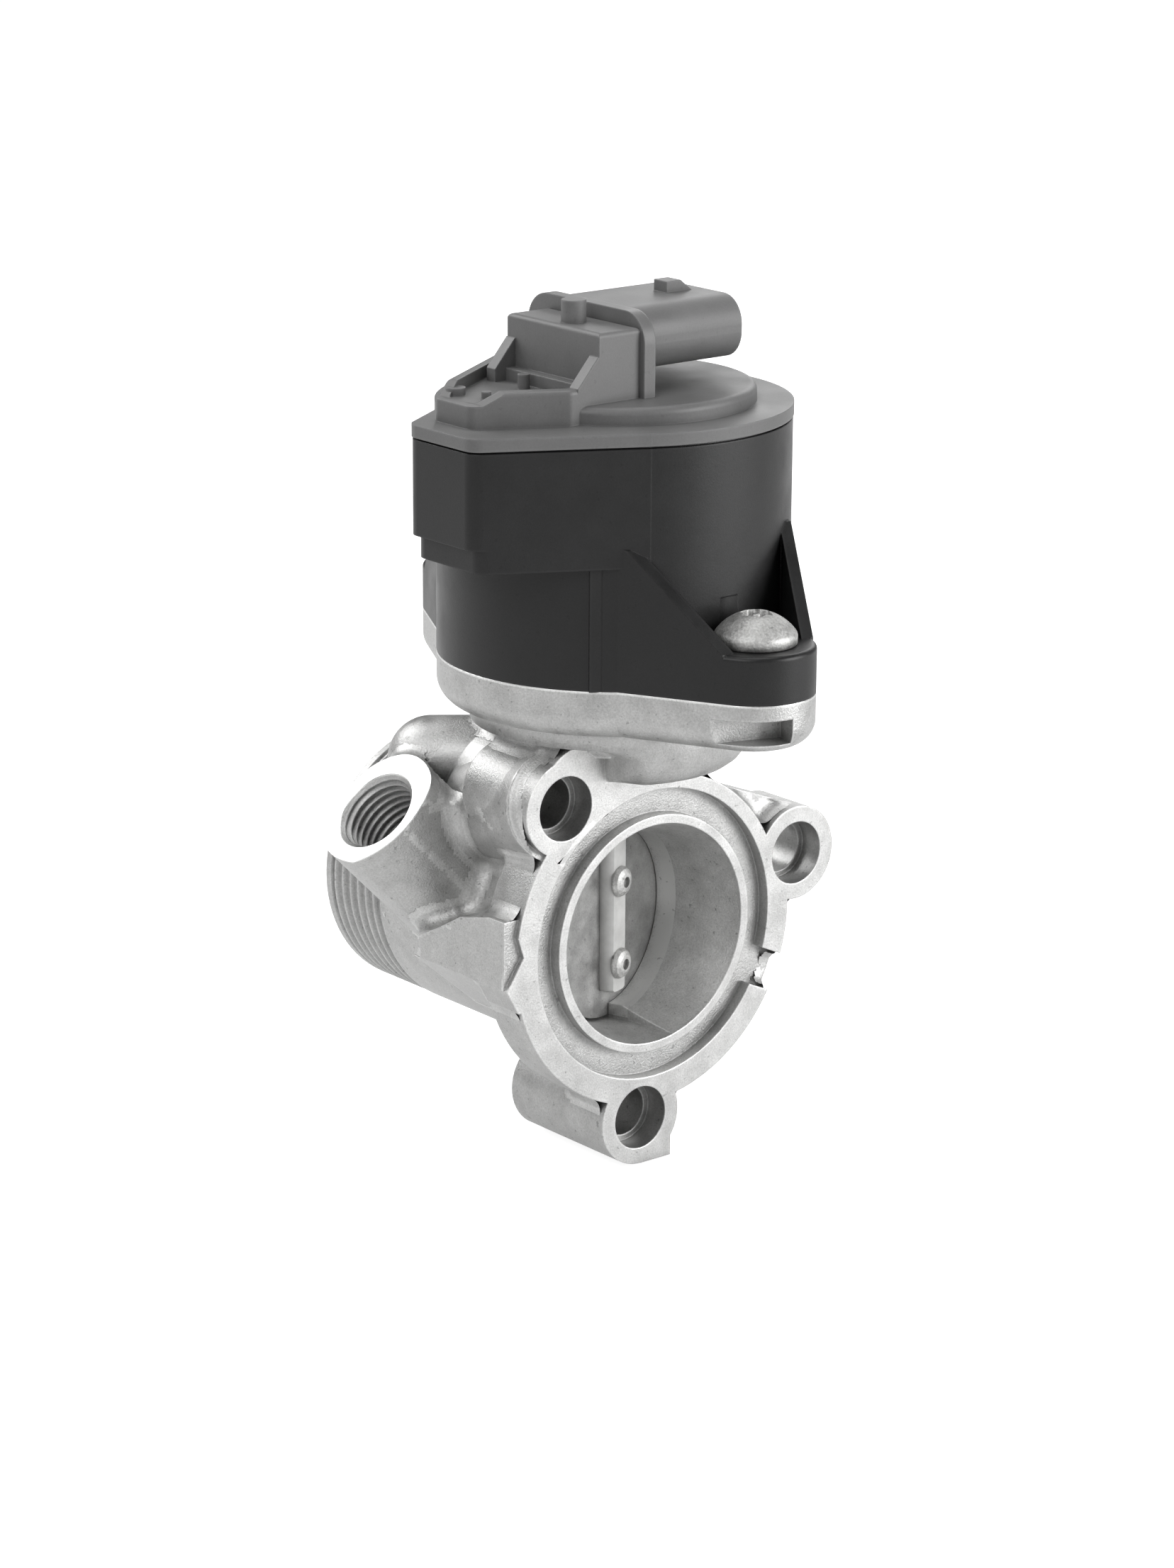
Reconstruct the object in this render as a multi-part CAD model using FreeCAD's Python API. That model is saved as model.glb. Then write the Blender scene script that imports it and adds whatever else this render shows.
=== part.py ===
"""EGR valve with a lap-seated flap, a reduction gear and a round plastic actuator.

Frame: the flap shaft turns about Z, the gas bore runs along Y and crosses the
shaft axis at the origin.  The flange that bolts to the engine faces -Y.
All lengths are in mm.
"""
import FreeCAD, Part
import math
import os

os.makedirs("parts", exist_ok=True)

# Clearances shared by several parts
RUN_GAP = 0.05          # radial running gap of turning parts
FIT_GAP = 0.15          # gap of parts that are only put together
SEAT_GAP = 0.08         # gap left between the flap and its seats

# Valve housing: flange and gas passage
FLANGE_Y = -11.8        # mounting face
FLANGE_T = 8.5
RING_R = 29.7           # round part of the flange
RING_TOP_R = 27.7       # same, between the two upper lugs
GAS_R = 18.1            # gas bore at the flap
MOUTH_STEP = 1.05       # how much wider the bore is at the flange
MOUTH_R = GAS_R + MOUTH_STEP
RIM_T = 1.55            # wall of the rim round the mouth
RIM_R = MOUTH_R + RIM_T
GROOVE_R = 25.2         # outer edge of the gasket groove
GROOVE_D = 2.3
TUBE_R = 23.6           # outside of the tube behind the flange
SPIGOT_Y = 34.0         # start of the ribbed spigot
SPIGOT_END = 50.3
SPIGOT_R = 23.5         # over the ribs
RIB_PITCH = 2.2
RIB_COUNT = 6
RIB_DEPTH = 0.8
LUG_HOLES = ((-19.4, 25.5), (31.5, 8.3), (-2.9, -32.1))   # x, z
LUG_DEPTHS = (17.0, 12.0, 24.7)                           # along Y
LUG_R = 8.25
HOLE_R = 4.4            # M8 bolt clearance
SLEEVE_R = 5.5          # locating sleeve recess at the flange face
SLEEVE_D = 4.5

# Flap and its seats, closed position
TILT = 18.0             # closed flap, degrees from square across the bore
OPEN_ANGLE = 72.0       # travel from closed to fully open
FLAP_R = 17.6
FLAP_T = 2.0
FLAP_Q = 0.6            # front face of the flap, behind the shaft axis
SEAT_R = 15.6           # inner edge of the half-ring seats
SEAT_BAND = 3.0
BAR_R = 2.55            # shaft inside the gas bore
BAR_FLAT = 1.8          # flat under the flap screws
BAR_END = -12.8
FLAP_SCREW_Z = (6.7, -7.9)
FLAP_SCREW_R = 1.5

# Shaft above the gas bore
SHAFT_R = 3.0
SHAFT_STEP_Z = 20.0
SHAFT_TOP = 85.6
BUSH_R = 6.0
LOWER_BUSH = (21.5, 33.0)
UPPER_BUSH = (40.0, 46.0)
SEAL_Z = (34.2, 38.2)
SEAL_R = 7.5

# Sensor port
PORT_C = (-36.4, 17.6, 21.5)
PORT_R = 6.2            # tapping bore of the M14 x 1.5 thread
PORT_THREAD_R = 7.0
PORT_PITCH = 1.5
PORT_DEPTH = 13.0

# Actuator housing
JOINT_Z = 47.45         # casting to plastic
SEAM_Z = 87.6           # housing to cover
BODY_R = 29.4
WALL = 2.2
FLOOR_T = 2.6
LUG_Y = 35.5            # actuator lugs, at +Y and -Y
LUG_END_R = 10.2
FLANK = (0.882, 0.471)  # outward normal of the lug flanks
FLANK_LEN = 19.5
SCREW_Y = 36.0
LUG_TOP = 55.4
GUSSET_TOP = 70.9
BOX_X = -39.3           # flat end of the gear box part
BOX_Y = (-12.4, 3.6)
BOX_BACK = (-27.1, 11.4)
BOX_FRONT = (-13.8, -26.0)
BOX_BOTTOM = 67.8
BOX_TIER = 71.6
TIER_IN = 1.1
STRIP_TURN = 23.6       # flat strip beside the front lug
STRIP_X = (-11.75, -7.8)
STRIP_R = 27.6
BASE_T = 8.4            # thickness of the casting's top plate
SCREW_HEAD_R = 6.8
SCREW_HEAD_H = 5.4
SCREW_R = 3.0
PILOT_R = 12.4
PILOT_H = 2.4

# Cover
LIP_T = 2.1
SEAM_GAP = 0.35         # open line under the lip
DISC_R = 23.4
DISC_TOP = SEAM_Z + 5.0
TRAY_TOP = DISC_TOP + 0.8
RIM_TOP = DISC_TOP + 2.9
TRAY_LEFT = -34.9
TRAY_FRONT = 22.0       # distance of the tray's front wall from the shaft
TRAY_BACK = 21.2        # same, back wall
TRAY_POSTS = ((-30.4, 3.2, 1.6, 1.2), (-28.7, -2.6, 0.8, 1.2), (-18.7, 0.4, 1.0, 2.4))
COVER_WALL = 2.0
RISER_Y = (-14.0, 9.6)
RISER_X = (-14.8, -6.2)
RISER_TOP = DISC_TOP + 11.4
COLLAR_X = (-6.2, -3.9)
COLLAR_Y = 15.0
COLLAR_TOP = DISC_TOP + 13.7
SHROUD_X = 17.6
SHROUD_Y = 11.4
SHROUD_Z = (DISC_TOP + 3.1, DISC_TOP + 13.6)
SHROUD_WALL = 1.7
SHROUD_DEPTH = 17.0
PIN_COUNT = 5
PIN_PITCH = 3.3
PIN_W = 0.8

# Gears
GEAR_ANGLE = 189.2      # direction from the shaft to the intermediate gear
OUT_MODULE = 0.9
OUT_TEETH = 49
SMALL_TEETH = 12
IN_MODULE = 0.6
BIG_TEETH = 30
PINION_TEETH = 10
PRESSURE = math.radians(25.0)
ADDENDUM = 0.85
SHIFT = 0.3             # profile shift, plus on the small gears, minus on the large
BACKLASH = 0.10
OUT_Z = (77.2, 83.2)
SMALL_Z = (76.2, 84.0)
BIG_Z = (71.4, 76.2)
PINION_Z = (70.9, 76.0)
SECTOR = (96.0, 210.0)  # flanks of the toothed sector, closed
GEAR_PIN_R = 2.0
HUB_R = 6.0
GEAR_DIST = OUT_MODULE * (OUT_TEETH + SMALL_TEETH) / 2
MOTOR_DIST = GEAR_DIST - IN_MODULE * (BIG_TEETH + PINION_TEETH) / 2

# Motor
PLATE_Z = (69.6, 70.6)   # steel plate between motor and gears
MOTOR_R = 10.7
MOTOR_Z = (50.4, 69.4)
CAN_WALL = 1.0
MOTOR_SHAFT_R = 1.0
ARMATURE_R = 7.0
MAGNET_IN = 7.5

# Return spring, magnet and circuit board
SPRING_R = 8.3
SPRING_WIRE = 0.55
SPRING_Z = (71.3, 75.3)
SPRING_LEG = 6.0
SPRING_TURNS = 3.0
MAGNET_R = 6.5
MAGNET_Z = (83.4, 86.4)
BOARD_Z = (SEAM_Z + 0.7, SEAM_Z + 2.1)
BOARD_R = 20.4
LEAD_PLACES = ((8.6, -12.4), (5.6, -14.6))   # x, y of the motor's contact blades


def vec(x, y, z):
    """Short name for a vector."""
    return FreeCAD.Vector(x, y, z)


def rod(radius, start, end):
    """Cylinder between two points."""
    a = vec(*start)
    b = vec(*end)
    return Part.makeCylinder(radius, (b - a).Length, a, b - a)


def upright(radius, z0, z1, x=0.0, y=0.0):
    """Cylinder along Z."""
    return rod(radius, (x, y, z0), (x, y, z1))


def along_y(radius, y0, y1, x=0.0, z=0.0):
    """Cylinder along Y."""
    return rod(radius, (x, y0, z), (x, y1, z))


def block(x0, x1, y0, y1, z0, z1):
    """Box between two corners."""
    return Part.makeBox(x1 - x0, y1 - y0, z1 - z0, vec(x0, y0, z0))


def prism(points, z0, z1):
    """Straight prism over a polygon given in XY."""
    corners = [vec(x, y, z0) for x, y in points]
    face = Part.Face(Part.makePolygon(corners + corners[:1]))
    return face.extrude(vec(0, 0, z1 - z0))


def prism_y(points, y0, y1):
    """Straight prism along Y over a polygon given in XZ."""
    corners = [vec(x, y0, z) for x, z in points]
    face = Part.Face(Part.makePolygon(corners + corners[:1]))
    return face.extrude(vec(0, y1 - y0, 0))


def turned(profile, centre=(0, 0, 0), axis=(0, 0, 1)):
    """Body of revolution from (radius, height) points, turned about Z, then aimed."""
    corners = [vec(r, 0, h) for r, h in profile]
    face = Part.Face(Part.makePolygon(corners + corners[:1]))
    body = face.revolve(vec(0, 0, 0), vec(0, 0, 1), 360)
    turn = FreeCAD.Rotation(vec(0, 0, 1), vec(*axis))
    body.Placement = FreeCAD.Placement(vec(*centre), turn)
    return body


def soften(shape, radius, wanted):
    """Round the edges that wanted() picks; keep the sharp shape if that fails."""
    edges = [e for e in shape.Edges if wanted(e)]
    if not edges:
        return shape
    try:
        rounded = shape.makeFillet(radius, edges)
    except Exception:
        return shape
    if rounded.isValid() and rounded.Volume > 0.5 * shape.Volume:
        return rounded
    return shape


def at_height(z, tol=0.01):
    """Test for edges that lie in one level plane."""
    def test(edge):
        box = edge.BoundBox
        return abs(box.ZMin - z) < tol and abs(box.ZMax - z) < tol
    return test


def upright_at(x, y, tol=0.01):
    """Test for the upright edge at one place."""
    def test(edge):
        box = edge.BoundBox
        return max(abs(box.XMin - x), abs(box.XMax - x), abs(box.YMin - y), abs(box.YMax - y)) < tol
    return test


def cleaned(shape):
    """Drop needless seams, unless that harms the shape."""
    plain = shape.copy().removeSplitter()
    same = abs(plain.Volume - shape.Volume) < 1e-4 * shape.Volume
    return plain if same and plain.isValid() else shape


def merge(first, *others):
    """Fuse solids one after the other."""
    for other in others:
        first = first.fuse(other)
    return cleaned(first)


def carve(body, tools):
    """Cut solids out one after the other."""
    for tool in tools:
        body = body.cut(tool)
    return cleaned(body)


def polar(radius, degrees):
    """Point at an angle round Z."""
    a = math.radians(degrees)
    return radius * math.cos(a), radius * math.sin(a)


def save(name, shape):
    """Write one sub-part."""
    shape.exportStep("parts/%s.step" % name)


# Seat frame
TILT_RAD = math.radians(TILT)
ALONG = vec(math.cos(TILT_RAD), math.sin(TILT_RAD), 0)    # in the flap, level
FRONT = vec(math.sin(TILT_RAD), -math.cos(TILT_RAD), 0)   # out of its front face


def flap_frame(shape):
    """Move a shape built with X along the flap and Y to its back into place."""
    shape.Placement = FreeCAD.Placement(vec(0, 0, 0), FreeCAD.Rotation(vec(0, 0, 1), TILT))
    return shape


def half_ring(front):
    """Half-ring seat inside the gas bore, tilted with the closed flap.

    The front one bears on the right half of the flap and widens to the mouth,
    the rear one bears on the left half.
    """
    face_y = FLAP_Q - SEAT_GAP if front else FLAP_Q + FLAP_T + SEAT_GAP
    depth = 11.0
    flare = SEAT_R + (depth - SEAT_BAND) * 0.42
    hole = [(0, 0), (SEAT_R, 0), (SEAT_R, SEAT_BAND), (flare, depth), (0, depth)]
    hollow = turned(hole, (0, face_y, 0), (0, 1, 0))
    if front:
        ring = along_y(0.5 * (MOUTH_R + RIM_R), FLANGE_Y, 12.0)
        ring = ring.common(flap_frame(block(0.3, 40, -40, face_y, -30, 30)))
        throat = FRONT * (SEAT_BAND - face_y)
        ring = ring.cut(flap_frame(along_y(SEAT_R, face_y + 1.0, face_y - SEAT_BAND)))
        ends = [Part.Wire(Part.makeCircle(SEAT_R, throat, FRONT)),
                Part.Wire(Part.makeCircle(MOUTH_R, vec(0, FLANGE_Y, 0), vec(0, -1, 0)))]
        return ring.cut(Part.makeLoft(ends, True, True))
    ring = along_y(GAS_R + 1.0, face_y, face_y + depth - 1.0)
    side = block(-30, -3.1, -20, 20, -30, 30)
    return flap_frame(ring.cut(hollow).common(side))


# Casting
def base_outline(z0, z1, grow=0.0):
    """Footprint of the actuator: round body with two lugs."""
    body = upright(BODY_R + grow, z0, z1)
    for side in (-1, 1):
        end_x = FLANK[0] * (LUG_END_R + grow)
        end_y = LUG_Y + FLANK[1] * (LUG_END_R + grow)
        root_x = end_x + FLANK[1] * FLANK_LEN
        root_y = end_y - FLANK[0] * FLANK_LEN
        wedge = [(-end_x, side * end_y), (-root_x, side * root_y), (-root_x, side * 14.0),
                 (root_x, side * 14.0), (root_x, side * root_y), (end_x, side * end_y)]
        body = merge(body, prism(wedge, z0, z1),
                     upright(LUG_END_R + grow, z0, z1, 0, side * LUG_Y))
    return body


def flange_plate():
    """Mounting flange with three lugs, outline as seen from the front."""
    back = FLANGE_Y + FLANGE_T
    ring = along_y(RING_R, FLANGE_Y, back)
    corner = block(-0.7, 40, FLANGE_Y - 1, back + 1, 1.3, 40)
    ring = ring.cut(corner.cut(along_y(RING_TOP_R, FLANGE_Y - 2, back + 2)))
    lugs = [along_y(LUG_R, FLANGE_Y, FLANGE_Y + depth, x, z)
            for (x, z), depth in zip(LUG_HOLES, LUG_DEPTHS)]
    lobe = along_y(8.0, FLANGE_Y, back + 2.0, -16.4, 27.6)
    foot = block(LUG_HOLES[2][0], 3.8, FLANGE_Y, back, -40.4, -24.0)
    nose = prism_y([(-31.6, -3.8), (-29.2, -8.0), (-20, -8.0), (-20, 4.5), (-29.4, 1.2)],
                   FLANGE_Y, back)
    web = prism_y([(11, 24.6), (33, 16.2), (28, 9), (14, 14)], back - 5.0, back)
    plate = merge(ring, *lugs, lobe, foot, nose, web)
    notch = prism_y([(-33, 6.5), (-29.2, 4.9), (-28.1, 1.5), (-31.7, -3.9), (-34, -3.0)],
                    FLANGE_Y - 1, FLANGE_Y + 4.5)
    return plate.cut(notch)


def port_axis(k):
    """Point on the sensor port axis, k below its face."""
    s = k / math.sqrt(2.0)
    return PORT_C[0] + s, PORT_C[1], PORT_C[2] - s


def port_prism(points, k0, k1):
    """Prism along the port axis; points are (along Y, up the sloping face).

    The outline is a smooth curve with its one corner at the first point.
    """
    s = 1 / math.sqrt(2.0)
    x, y, z = port_axis(k0)
    corners = [vec(x + b * s, y + a, z + b * s) for a, b in points]
    curve = Part.BSplineCurve()
    curve.interpolate(corners + corners[:1])
    face = Part.Face(Part.Wire(curve.toShape()))
    return face.extrude(vec((k1 - k0) * s, 0, -(k1 - k0) * s))


def port_boss():
    """Sloping boss of the sensor port with its keel and the dome behind it."""
    deep = 27.0
    outline = [(-3.0, -9.9), (1.2, -10.2), (5.2, -9.2), (8.4, -6.6), (10.1, -2.6), (9.7, 2.2),
               (8.0, 6.6), (4.6, 10.0), (0.4, 11.4), (-4.2, 10.6), (-7.8, 8.0), (-9.2, 3.8),
               (-9.1, -1.2), (-6.9, -6.2)]
    main = port_prism(outline, 0, deep)
    dome_c = (-20.0, 23.8, 26.2)
    dome = Part.makeSphere(7.4, vec(*dome_c))
    arm = rod(7.4, dome_c, (-4.0, 8.0, 27.0))
    leg = rod(7.4, dome_c, (-13.0, 20.0, 10.0))
    return merge(main, dome, arm, leg)


def casting_solid():
    """Outside of the casting before the passages are cut."""
    tube = along_y(TUBE_R, FLANGE_Y + 1, SPIGOT_Y)
    neck = turned([(0, 10), (15.6, 10), (15.6, 29.5), (18.0, 33.5), (22.5, 37.5),
                   (24.0, 41.0), (0, 41.0)])
    neck = neck.cut(block(-20, 20, -30, FLANGE_Y + 2.0, 0, 33.0))
    base = base_outline(JOINT_Z - BASE_T, JOINT_Z)
    base = soften(base, 4.0, at_height(JOINT_Z - BASE_T))
    pilot = upright(PILOT_R, JOINT_Z - 1, JOINT_Z + PILOT_H)
    side = [(13.6, -3.8), (13.6, -0.6), (6.6, 2.9), (0.8, 6.2), (-6.8, 8.0), (FLANGE_Y + 1, 8.0),
            (FLANGE_Y + 1, -3.8)]
    corners = [vec(-31.6, y, z) for y, z in side]
    shelf = Part.Face(Part.makePolygon(corners + corners[:1])).extrude(vec(11.6, 0, 0))
    shelf = soften(shelf, 2.0, upright_at(-31.6, 13.6))
    underside = prism_y([(-31.6, -3.8), (-20, -3.8), (-19, -14.5)], FLANGE_Y + 1, 13.6)
    shoulder = rod(9.5, (-19.4, FLANGE_Y + 2, 25.5), (-16.0, 12.0, 20.0))
    cheek = rod(11.0, (-12.0, -5.0, 24.0), (-12.0, 18.0, 22.0))
    return merge(tube, spigot(), neck, base, pilot, shelf, underside, flange_plate(), shoulder,
                 cheek, port_boss())


def spigot():
    """Ribbed pipe end that the duct is pressed on."""
    first = SPIGOT_END - 2.9
    profile = [(0, SPIGOT_Y - 1), (SPIGOT_R - RIB_DEPTH, SPIGOT_Y - 1)]
    for i in reversed(range(RIB_COUNT)):
        y = first - i * RIB_PITCH
        profile += [(SPIGOT_R - RIB_DEPTH, y - 0.9), (SPIGOT_R, y - 0.45),
                    (SPIGOT_R, y - 0.1), (SPIGOT_R - RIB_DEPTH, y + 0.35)]
    profile += [(SPIGOT_R - RIB_DEPTH, first + 0.6), (SPIGOT_R, first + 1.0),
                (SPIGOT_R, SPIGOT_END - 0.6), (SPIGOT_R - 0.6, SPIGOT_END), (0, SPIGOT_END)]
    return turned(profile, (0, 0, 0), (0, 1, 0))


def thread_grooves():
    """Rings that stand for the port's thread."""
    rings = []
    n = (-1 / math.sqrt(2.0), 0, 1 / math.sqrt(2.0))
    for i in range(8):
        k = 1.2 + i * PORT_PITCH
        shape = turned([(PORT_R - 0.1, -0.7), (PORT_THREAD_R, -0.1), (PORT_THREAD_R, 0.1),
                        (PORT_R - 0.1, 0.7)], port_axis(k), n)
        rings.append(shape)
    return rings


def valve_housing():
    """Die-cast aluminium body."""
    body = casting_solid()
    far = SPIGOT_END + 1
    n = (-1 / math.sqrt(2.0), 0, 1 / math.sqrt(2.0))
    cuts = [along_y(GAS_R, FLANGE_Y - 1, far),
            turned([(0, 0), (MOUTH_R, 0), (GAS_R, 8.0), (0, 8.0)], (0, FLANGE_Y, 0), (0, 1, 0)),
            turned([(RIM_R, 0), (GROOVE_R, 0), (GROOVE_R, GROOVE_D), (RIM_R, GROOVE_D)],
                   (0, FLANGE_Y, 0), (0, 1, 0)),
            turned([(0, 0), (GAS_R + 1.4, 0), (GAS_R, 4.0), (0, 4.0)],
                   (0, SPIGOT_END, 0), (0, -1, 0))]
    gap = block(GROOVE_R - 2.5, 34, FLANGE_Y - 1, FLANGE_Y + GROOVE_D, -3.3, 3.3)
    gap.rotate(vec(0, 0, 0), vec(0, 1, 0), 24.5)
    cuts.append(gap)
    for (x, z), depth in zip(LUG_HOLES, LUG_DEPTHS):
        cuts.append(along_y(HOLE_R, FLANGE_Y - 1, FLANGE_Y + depth + 1, x, z))
        cuts.append(along_y(SLEEVE_R, FLANGE_Y - 1, FLANGE_Y + SLEEVE_D, x, z))
    cuts.append(upright(SHAFT_R + 0.35, 15.0, LOWER_BUSH[0] + 1))
    cuts.append(upright(BUSH_R, LOWER_BUSH[0], SEAL_Z[0]))
    cuts.append(upright(SEAL_R, SEAL_Z[0] - 0.2, SEAL_Z[1]))
    cuts.append(upright(BUSH_R - 1.2, SEAL_Z[1] - 1, UPPER_BUSH[0] + 1))
    cuts.append(upright(BUSH_R, UPPER_BUSH[0], JOINT_Z + PILOT_H + 1))
    groove = turned([(PILOT_R - 2.0, 0), (PILOT_R + 1, 0), (PILOT_R + 1, 1.8),
                     (PILOT_R - 2.0, 1.8)], (0, 0, JOINT_Z + 0.3))
    cuts.append(groove)
    for side in (-1, 1):
        cuts.append(upright(SCREW_R, JOINT_Z - BASE_T - 1, JOINT_Z + 1, 0, side * SCREW_Y))
    window = block(-9.5, 2.8, -50, -40.5, JOINT_Z - 6.8, JOINT_Z - 2.6)
    window.rotate(vec(0, -LUG_Y, 0), vec(0, 0, 1), -18)
    cuts.append(window)
    cuts.append(rod(PORT_R, port_axis(-1), port_axis(34)))
    cuts.append(turned([(0, 0), (PORT_THREAD_R + 0.4, 0), (PORT_R, 1.2), (0, 1.2)],
                       port_axis(0), (-n[0], 0, -n[2])))
    cuts += thread_grooves()
    sunk = rod(14.0, port_axis(-12), port_axis(0)).common(
        block(-60, -10, PORT_C[1] - 14, PORT_C[1] + 14, 0, 60))
    cuts.append(sunk)
    body = carve(body, cuts)
    body = merge(body, half_ring(True), half_ring(False))
    return carve(body, [upright(BAR_R + 0.5, -14.0, SHAFT_STEP_Z + 1)])


# Flap and shaft
def flap_shaft():
    """Shaft with its milled seat for the flap and a keyed top end."""
    bar = upright(BAR_R, BAR_END, SHAFT_STEP_Z + 0.5)
    bar = soften(bar, 0.6, at_height(BAR_END))
    bar = bar.cut([block(-5, 5, FLAP_Q, 5, BAR_END - 1, FLAP_R + 0.4),
                   block(-5, 5, -5, -BAR_FLAT, BAR_END - 1, FLAP_R - 2.0)])
    for z in FLAP_SCREW_Z:
        bar = bar.cut(along_y(FLAP_SCREW_R + 0.1, -5, 5, 0, z))
    upper = upright(SHAFT_R, SHAFT_STEP_Z, SHAFT_TOP)
    upper = soften(upper, 0.4, at_height(SHAFT_TOP))
    key = block(-5, 5, 2.4, 5, OUT_Z[0] - 5.8, SHAFT_TOP + 1)
    return flap_frame(merge(bar, upper).cut(key))


def flap_plate():
    """Round throttle plate on the back of the shaft."""
    plate = along_y(FLAP_R, FLAP_Q, FLAP_Q + FLAP_T)
    for z in FLAP_SCREW_Z:
        plate = plate.cut(along_y(FLAP_SCREW_R, -5, 5, 0, z))
    return flap_frame(plate)


def flap_screws():
    """Two domed screws through the shaft into the plate."""
    screws = []
    for z in FLAP_SCREW_Z:
        dome = turned([(0, 0), (2.65, 0), (2.65, 0.35), (2.3, 0.95), (1.6, 1.35), (0, 1.55)],
                      (0, -BAR_FLAT, z), (0, -1, 0))
        socket = along_y(0.95, -BAR_FLAT - 2, -BAR_FLAT - 0.7, 0, z)
        shank = along_y(FLAP_SCREW_R, -BAR_FLAT - 0.1, FLAP_Q + FLAP_T + 0.6, 0, z)
        screws.append(dome.fuse(shank).cut(socket).removeSplitter())
    return flap_frame(Part.makeCompound(screws))


def bush(z0, z1):
    """Sintered bush round the shaft."""
    return upright(BUSH_R, z0, z1).cut(upright(SHAFT_R + RUN_GAP, z0 - 1, z1 + 1))


def shaft_seal():
    """Lip seal between the bushes."""
    z0, z1 = SEAL_Z
    lip = SHAFT_R + RUN_GAP
    profile = [(lip + 0.6, z0), (SEAL_R, z0), (SEAL_R, z1), (lip + 1.4, z1), (lip + 1.4, z1 - 1.0),
               (SEAL_R - 1.2, z1 - 1.0), (SEAL_R - 1.2, z0 + 1.0), (lip, z0 + 1.0)]
    return turned(profile)


# Actuator housing
def box_points(inset, front):
    """Corners of the gear box part, drawn in by inset; the front side has its own inset."""
    return [(BOX_BACK[0] + 9.0, BOX_BACK[1] + 5.73 - 1.18 * inset),
            (BOX_X + inset, BOX_Y[1] - 0.56 * inset),
            (BOX_X + inset, BOX_Y[0] - 0.53 * inset + 1.15 * front),
            (BOX_FRONT[0] + 0.47 * front, BOX_FRONT[1] + 0.88 * front),
            (0.0, -14.0), (0.0, 8.0)]


def box_part(z0, z1, inset=0.0, corner=3.0, front=None):
    """Box part as a solid with its two outer corners rounded."""
    solid = prism(box_points(inset, inset if front is None else front), z0, z1)

    def corner_edge(edge):
        box = edge.BoundBox
        level = box.XLength < 0.01 and box.YLength < 0.01
        return level and box.XMin < BOX_X + inset + 0.5
    return soften(solid, corner, corner_edge)


def actuator_outline(z0, z1, inset=0.0):
    """Round body and box part together."""
    return merge(upright(BODY_R - inset, z0, z1), box_part(z0, z1, inset, 3.0))


def lug_part(side):
    """Lug with its two gussets."""
    top = LUG_TOP
    lug = base_outline(JOINT_Z, top)
    lug = lug.common(block(-20, 20, *sorted((side * 20, side * 50)), JOINT_Z, top))
    lug = soften(lug, 0.8, at_height(top))
    web = base_outline(JOINT_Z, GUSSET_TOP).cut(base_outline(JOINT_Z, GUSSET_TOP, -2.2))
    web = web.common(block(-20, 20, *sorted((side * 20, side * 50)), JOINT_Z, GUSSET_TOP))
    slope = [(side * 24.5, GUSSET_TOP), (side * 39.0, LUG_TOP), (side * 39.0, JOINT_Z),
             (side * 20.0, JOINT_Z), (side * 20.0, GUSSET_TOP)]
    corners = [vec(-25, y, z) for y, z in slope]
    ramp = Part.Face(Part.makePolygon(corners + corners[:1])).extrude(vec(50, 0, 0))
    web = web.common(ramp)
    return lug.fuse(web)


def actuator_housing():
    """Black plastic housing of motor and gears."""
    outside = upright(BODY_R, JOINT_Z, SEAM_Z)
    box = box_part(BOX_TIER, SEAM_Z)
    tier = box_part(BOX_BOTTOM, BOX_TIER + 0.1, TIER_IN, 3.0, 0.0)
    strip = block(*STRIP_X, -STRIP_R, -STRIP_R + 4, JOINT_Z, BOX_BOTTOM)
    beyond = block(*STRIP_X, -STRIP_R - 9, -STRIP_R, JOINT_Z - 1, BOX_BOTTOM)
    for shape in (strip, beyond):
        shape.rotate(vec(0, 0, 0), vec(0, 0, 1), -STRIP_TURN)
    body = merge(outside.cut(beyond), strip, box, tier, lug_part(-1), lug_part(1))
    rebate = actuator_outline(SEAM_Z - SEAM_GAP, SEAM_Z + 1, -0.6)
    body = body.cut(rebate.cut(actuator_outline(SEAM_Z - SEAM_GAP - 1, SEAM_Z + 2, 0.5)))
    room = upright(BODY_R - WALL, JOINT_Z + FLOOR_T, SEAM_Z + 1)
    gear_room = box_part(BOX_BOTTOM + 2.0, SEAM_Z + 1, TIER_IN + 0.9)
    step = actuator_outline(SEAM_Z - 1.5, SEAM_Z + 1, 1.1)
    pilot = upright(PILOT_R + FIT_GAP, JOINT_Z - 1, JOINT_Z + FLOOR_T + 1)
    body = carve(body, [room, gear_room, step, pilot])
    px, py = polar(GEAR_DIST, GEAR_ANGLE)
    mx, my = polar(MOTOR_DIST, GEAR_ANGLE)
    foot = upright(GEAR_PIN_R + 1.6, BOX_BOTTOM + 1, BIG_Z[0] - 0.2, px, py)
    cup = upright(MOTOR_R + 1.3, JOINT_Z + FLOOR_T - 0.5, JOINT_Z + FLOOR_T + 5.0, mx, my)
    cup = cup.common(upright(BODY_R - 1, JOINT_Z, SEAM_Z))
    body = merge(body, foot, cup, stop_rib(SECTOR[0], -1), stop_rib(SECTOR[1] + OPEN_ANGLE, 1))
    cuts = [upright(GEAR_PIN_R, MOTOR_Z[1] + 0.3, BIG_Z[0] + 1, px, py),
            upright(MOTOR_R + FIT_GAP, MOTOR_Z[0] - 0.2, MOTOR_Z[1] + 0.2, mx, my),
            upright(SHAFT_R + 6.0, JOINT_Z, MOTOR_Z[1]),
            pilot]
    for side in (-1, 1):
        cuts.append(upright(SCREW_R + 1.7, JOINT_Z - 1, LUG_TOP + 1, 0, side * SCREW_Y))
        cuts.append(upright(SCREW_HEAD_R + FIT_GAP, LUG_TOP, LUG_TOP + SCREW_HEAD_H + 1, 0,
                            side * SCREW_Y))
    return carve(body, cuts)


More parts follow.
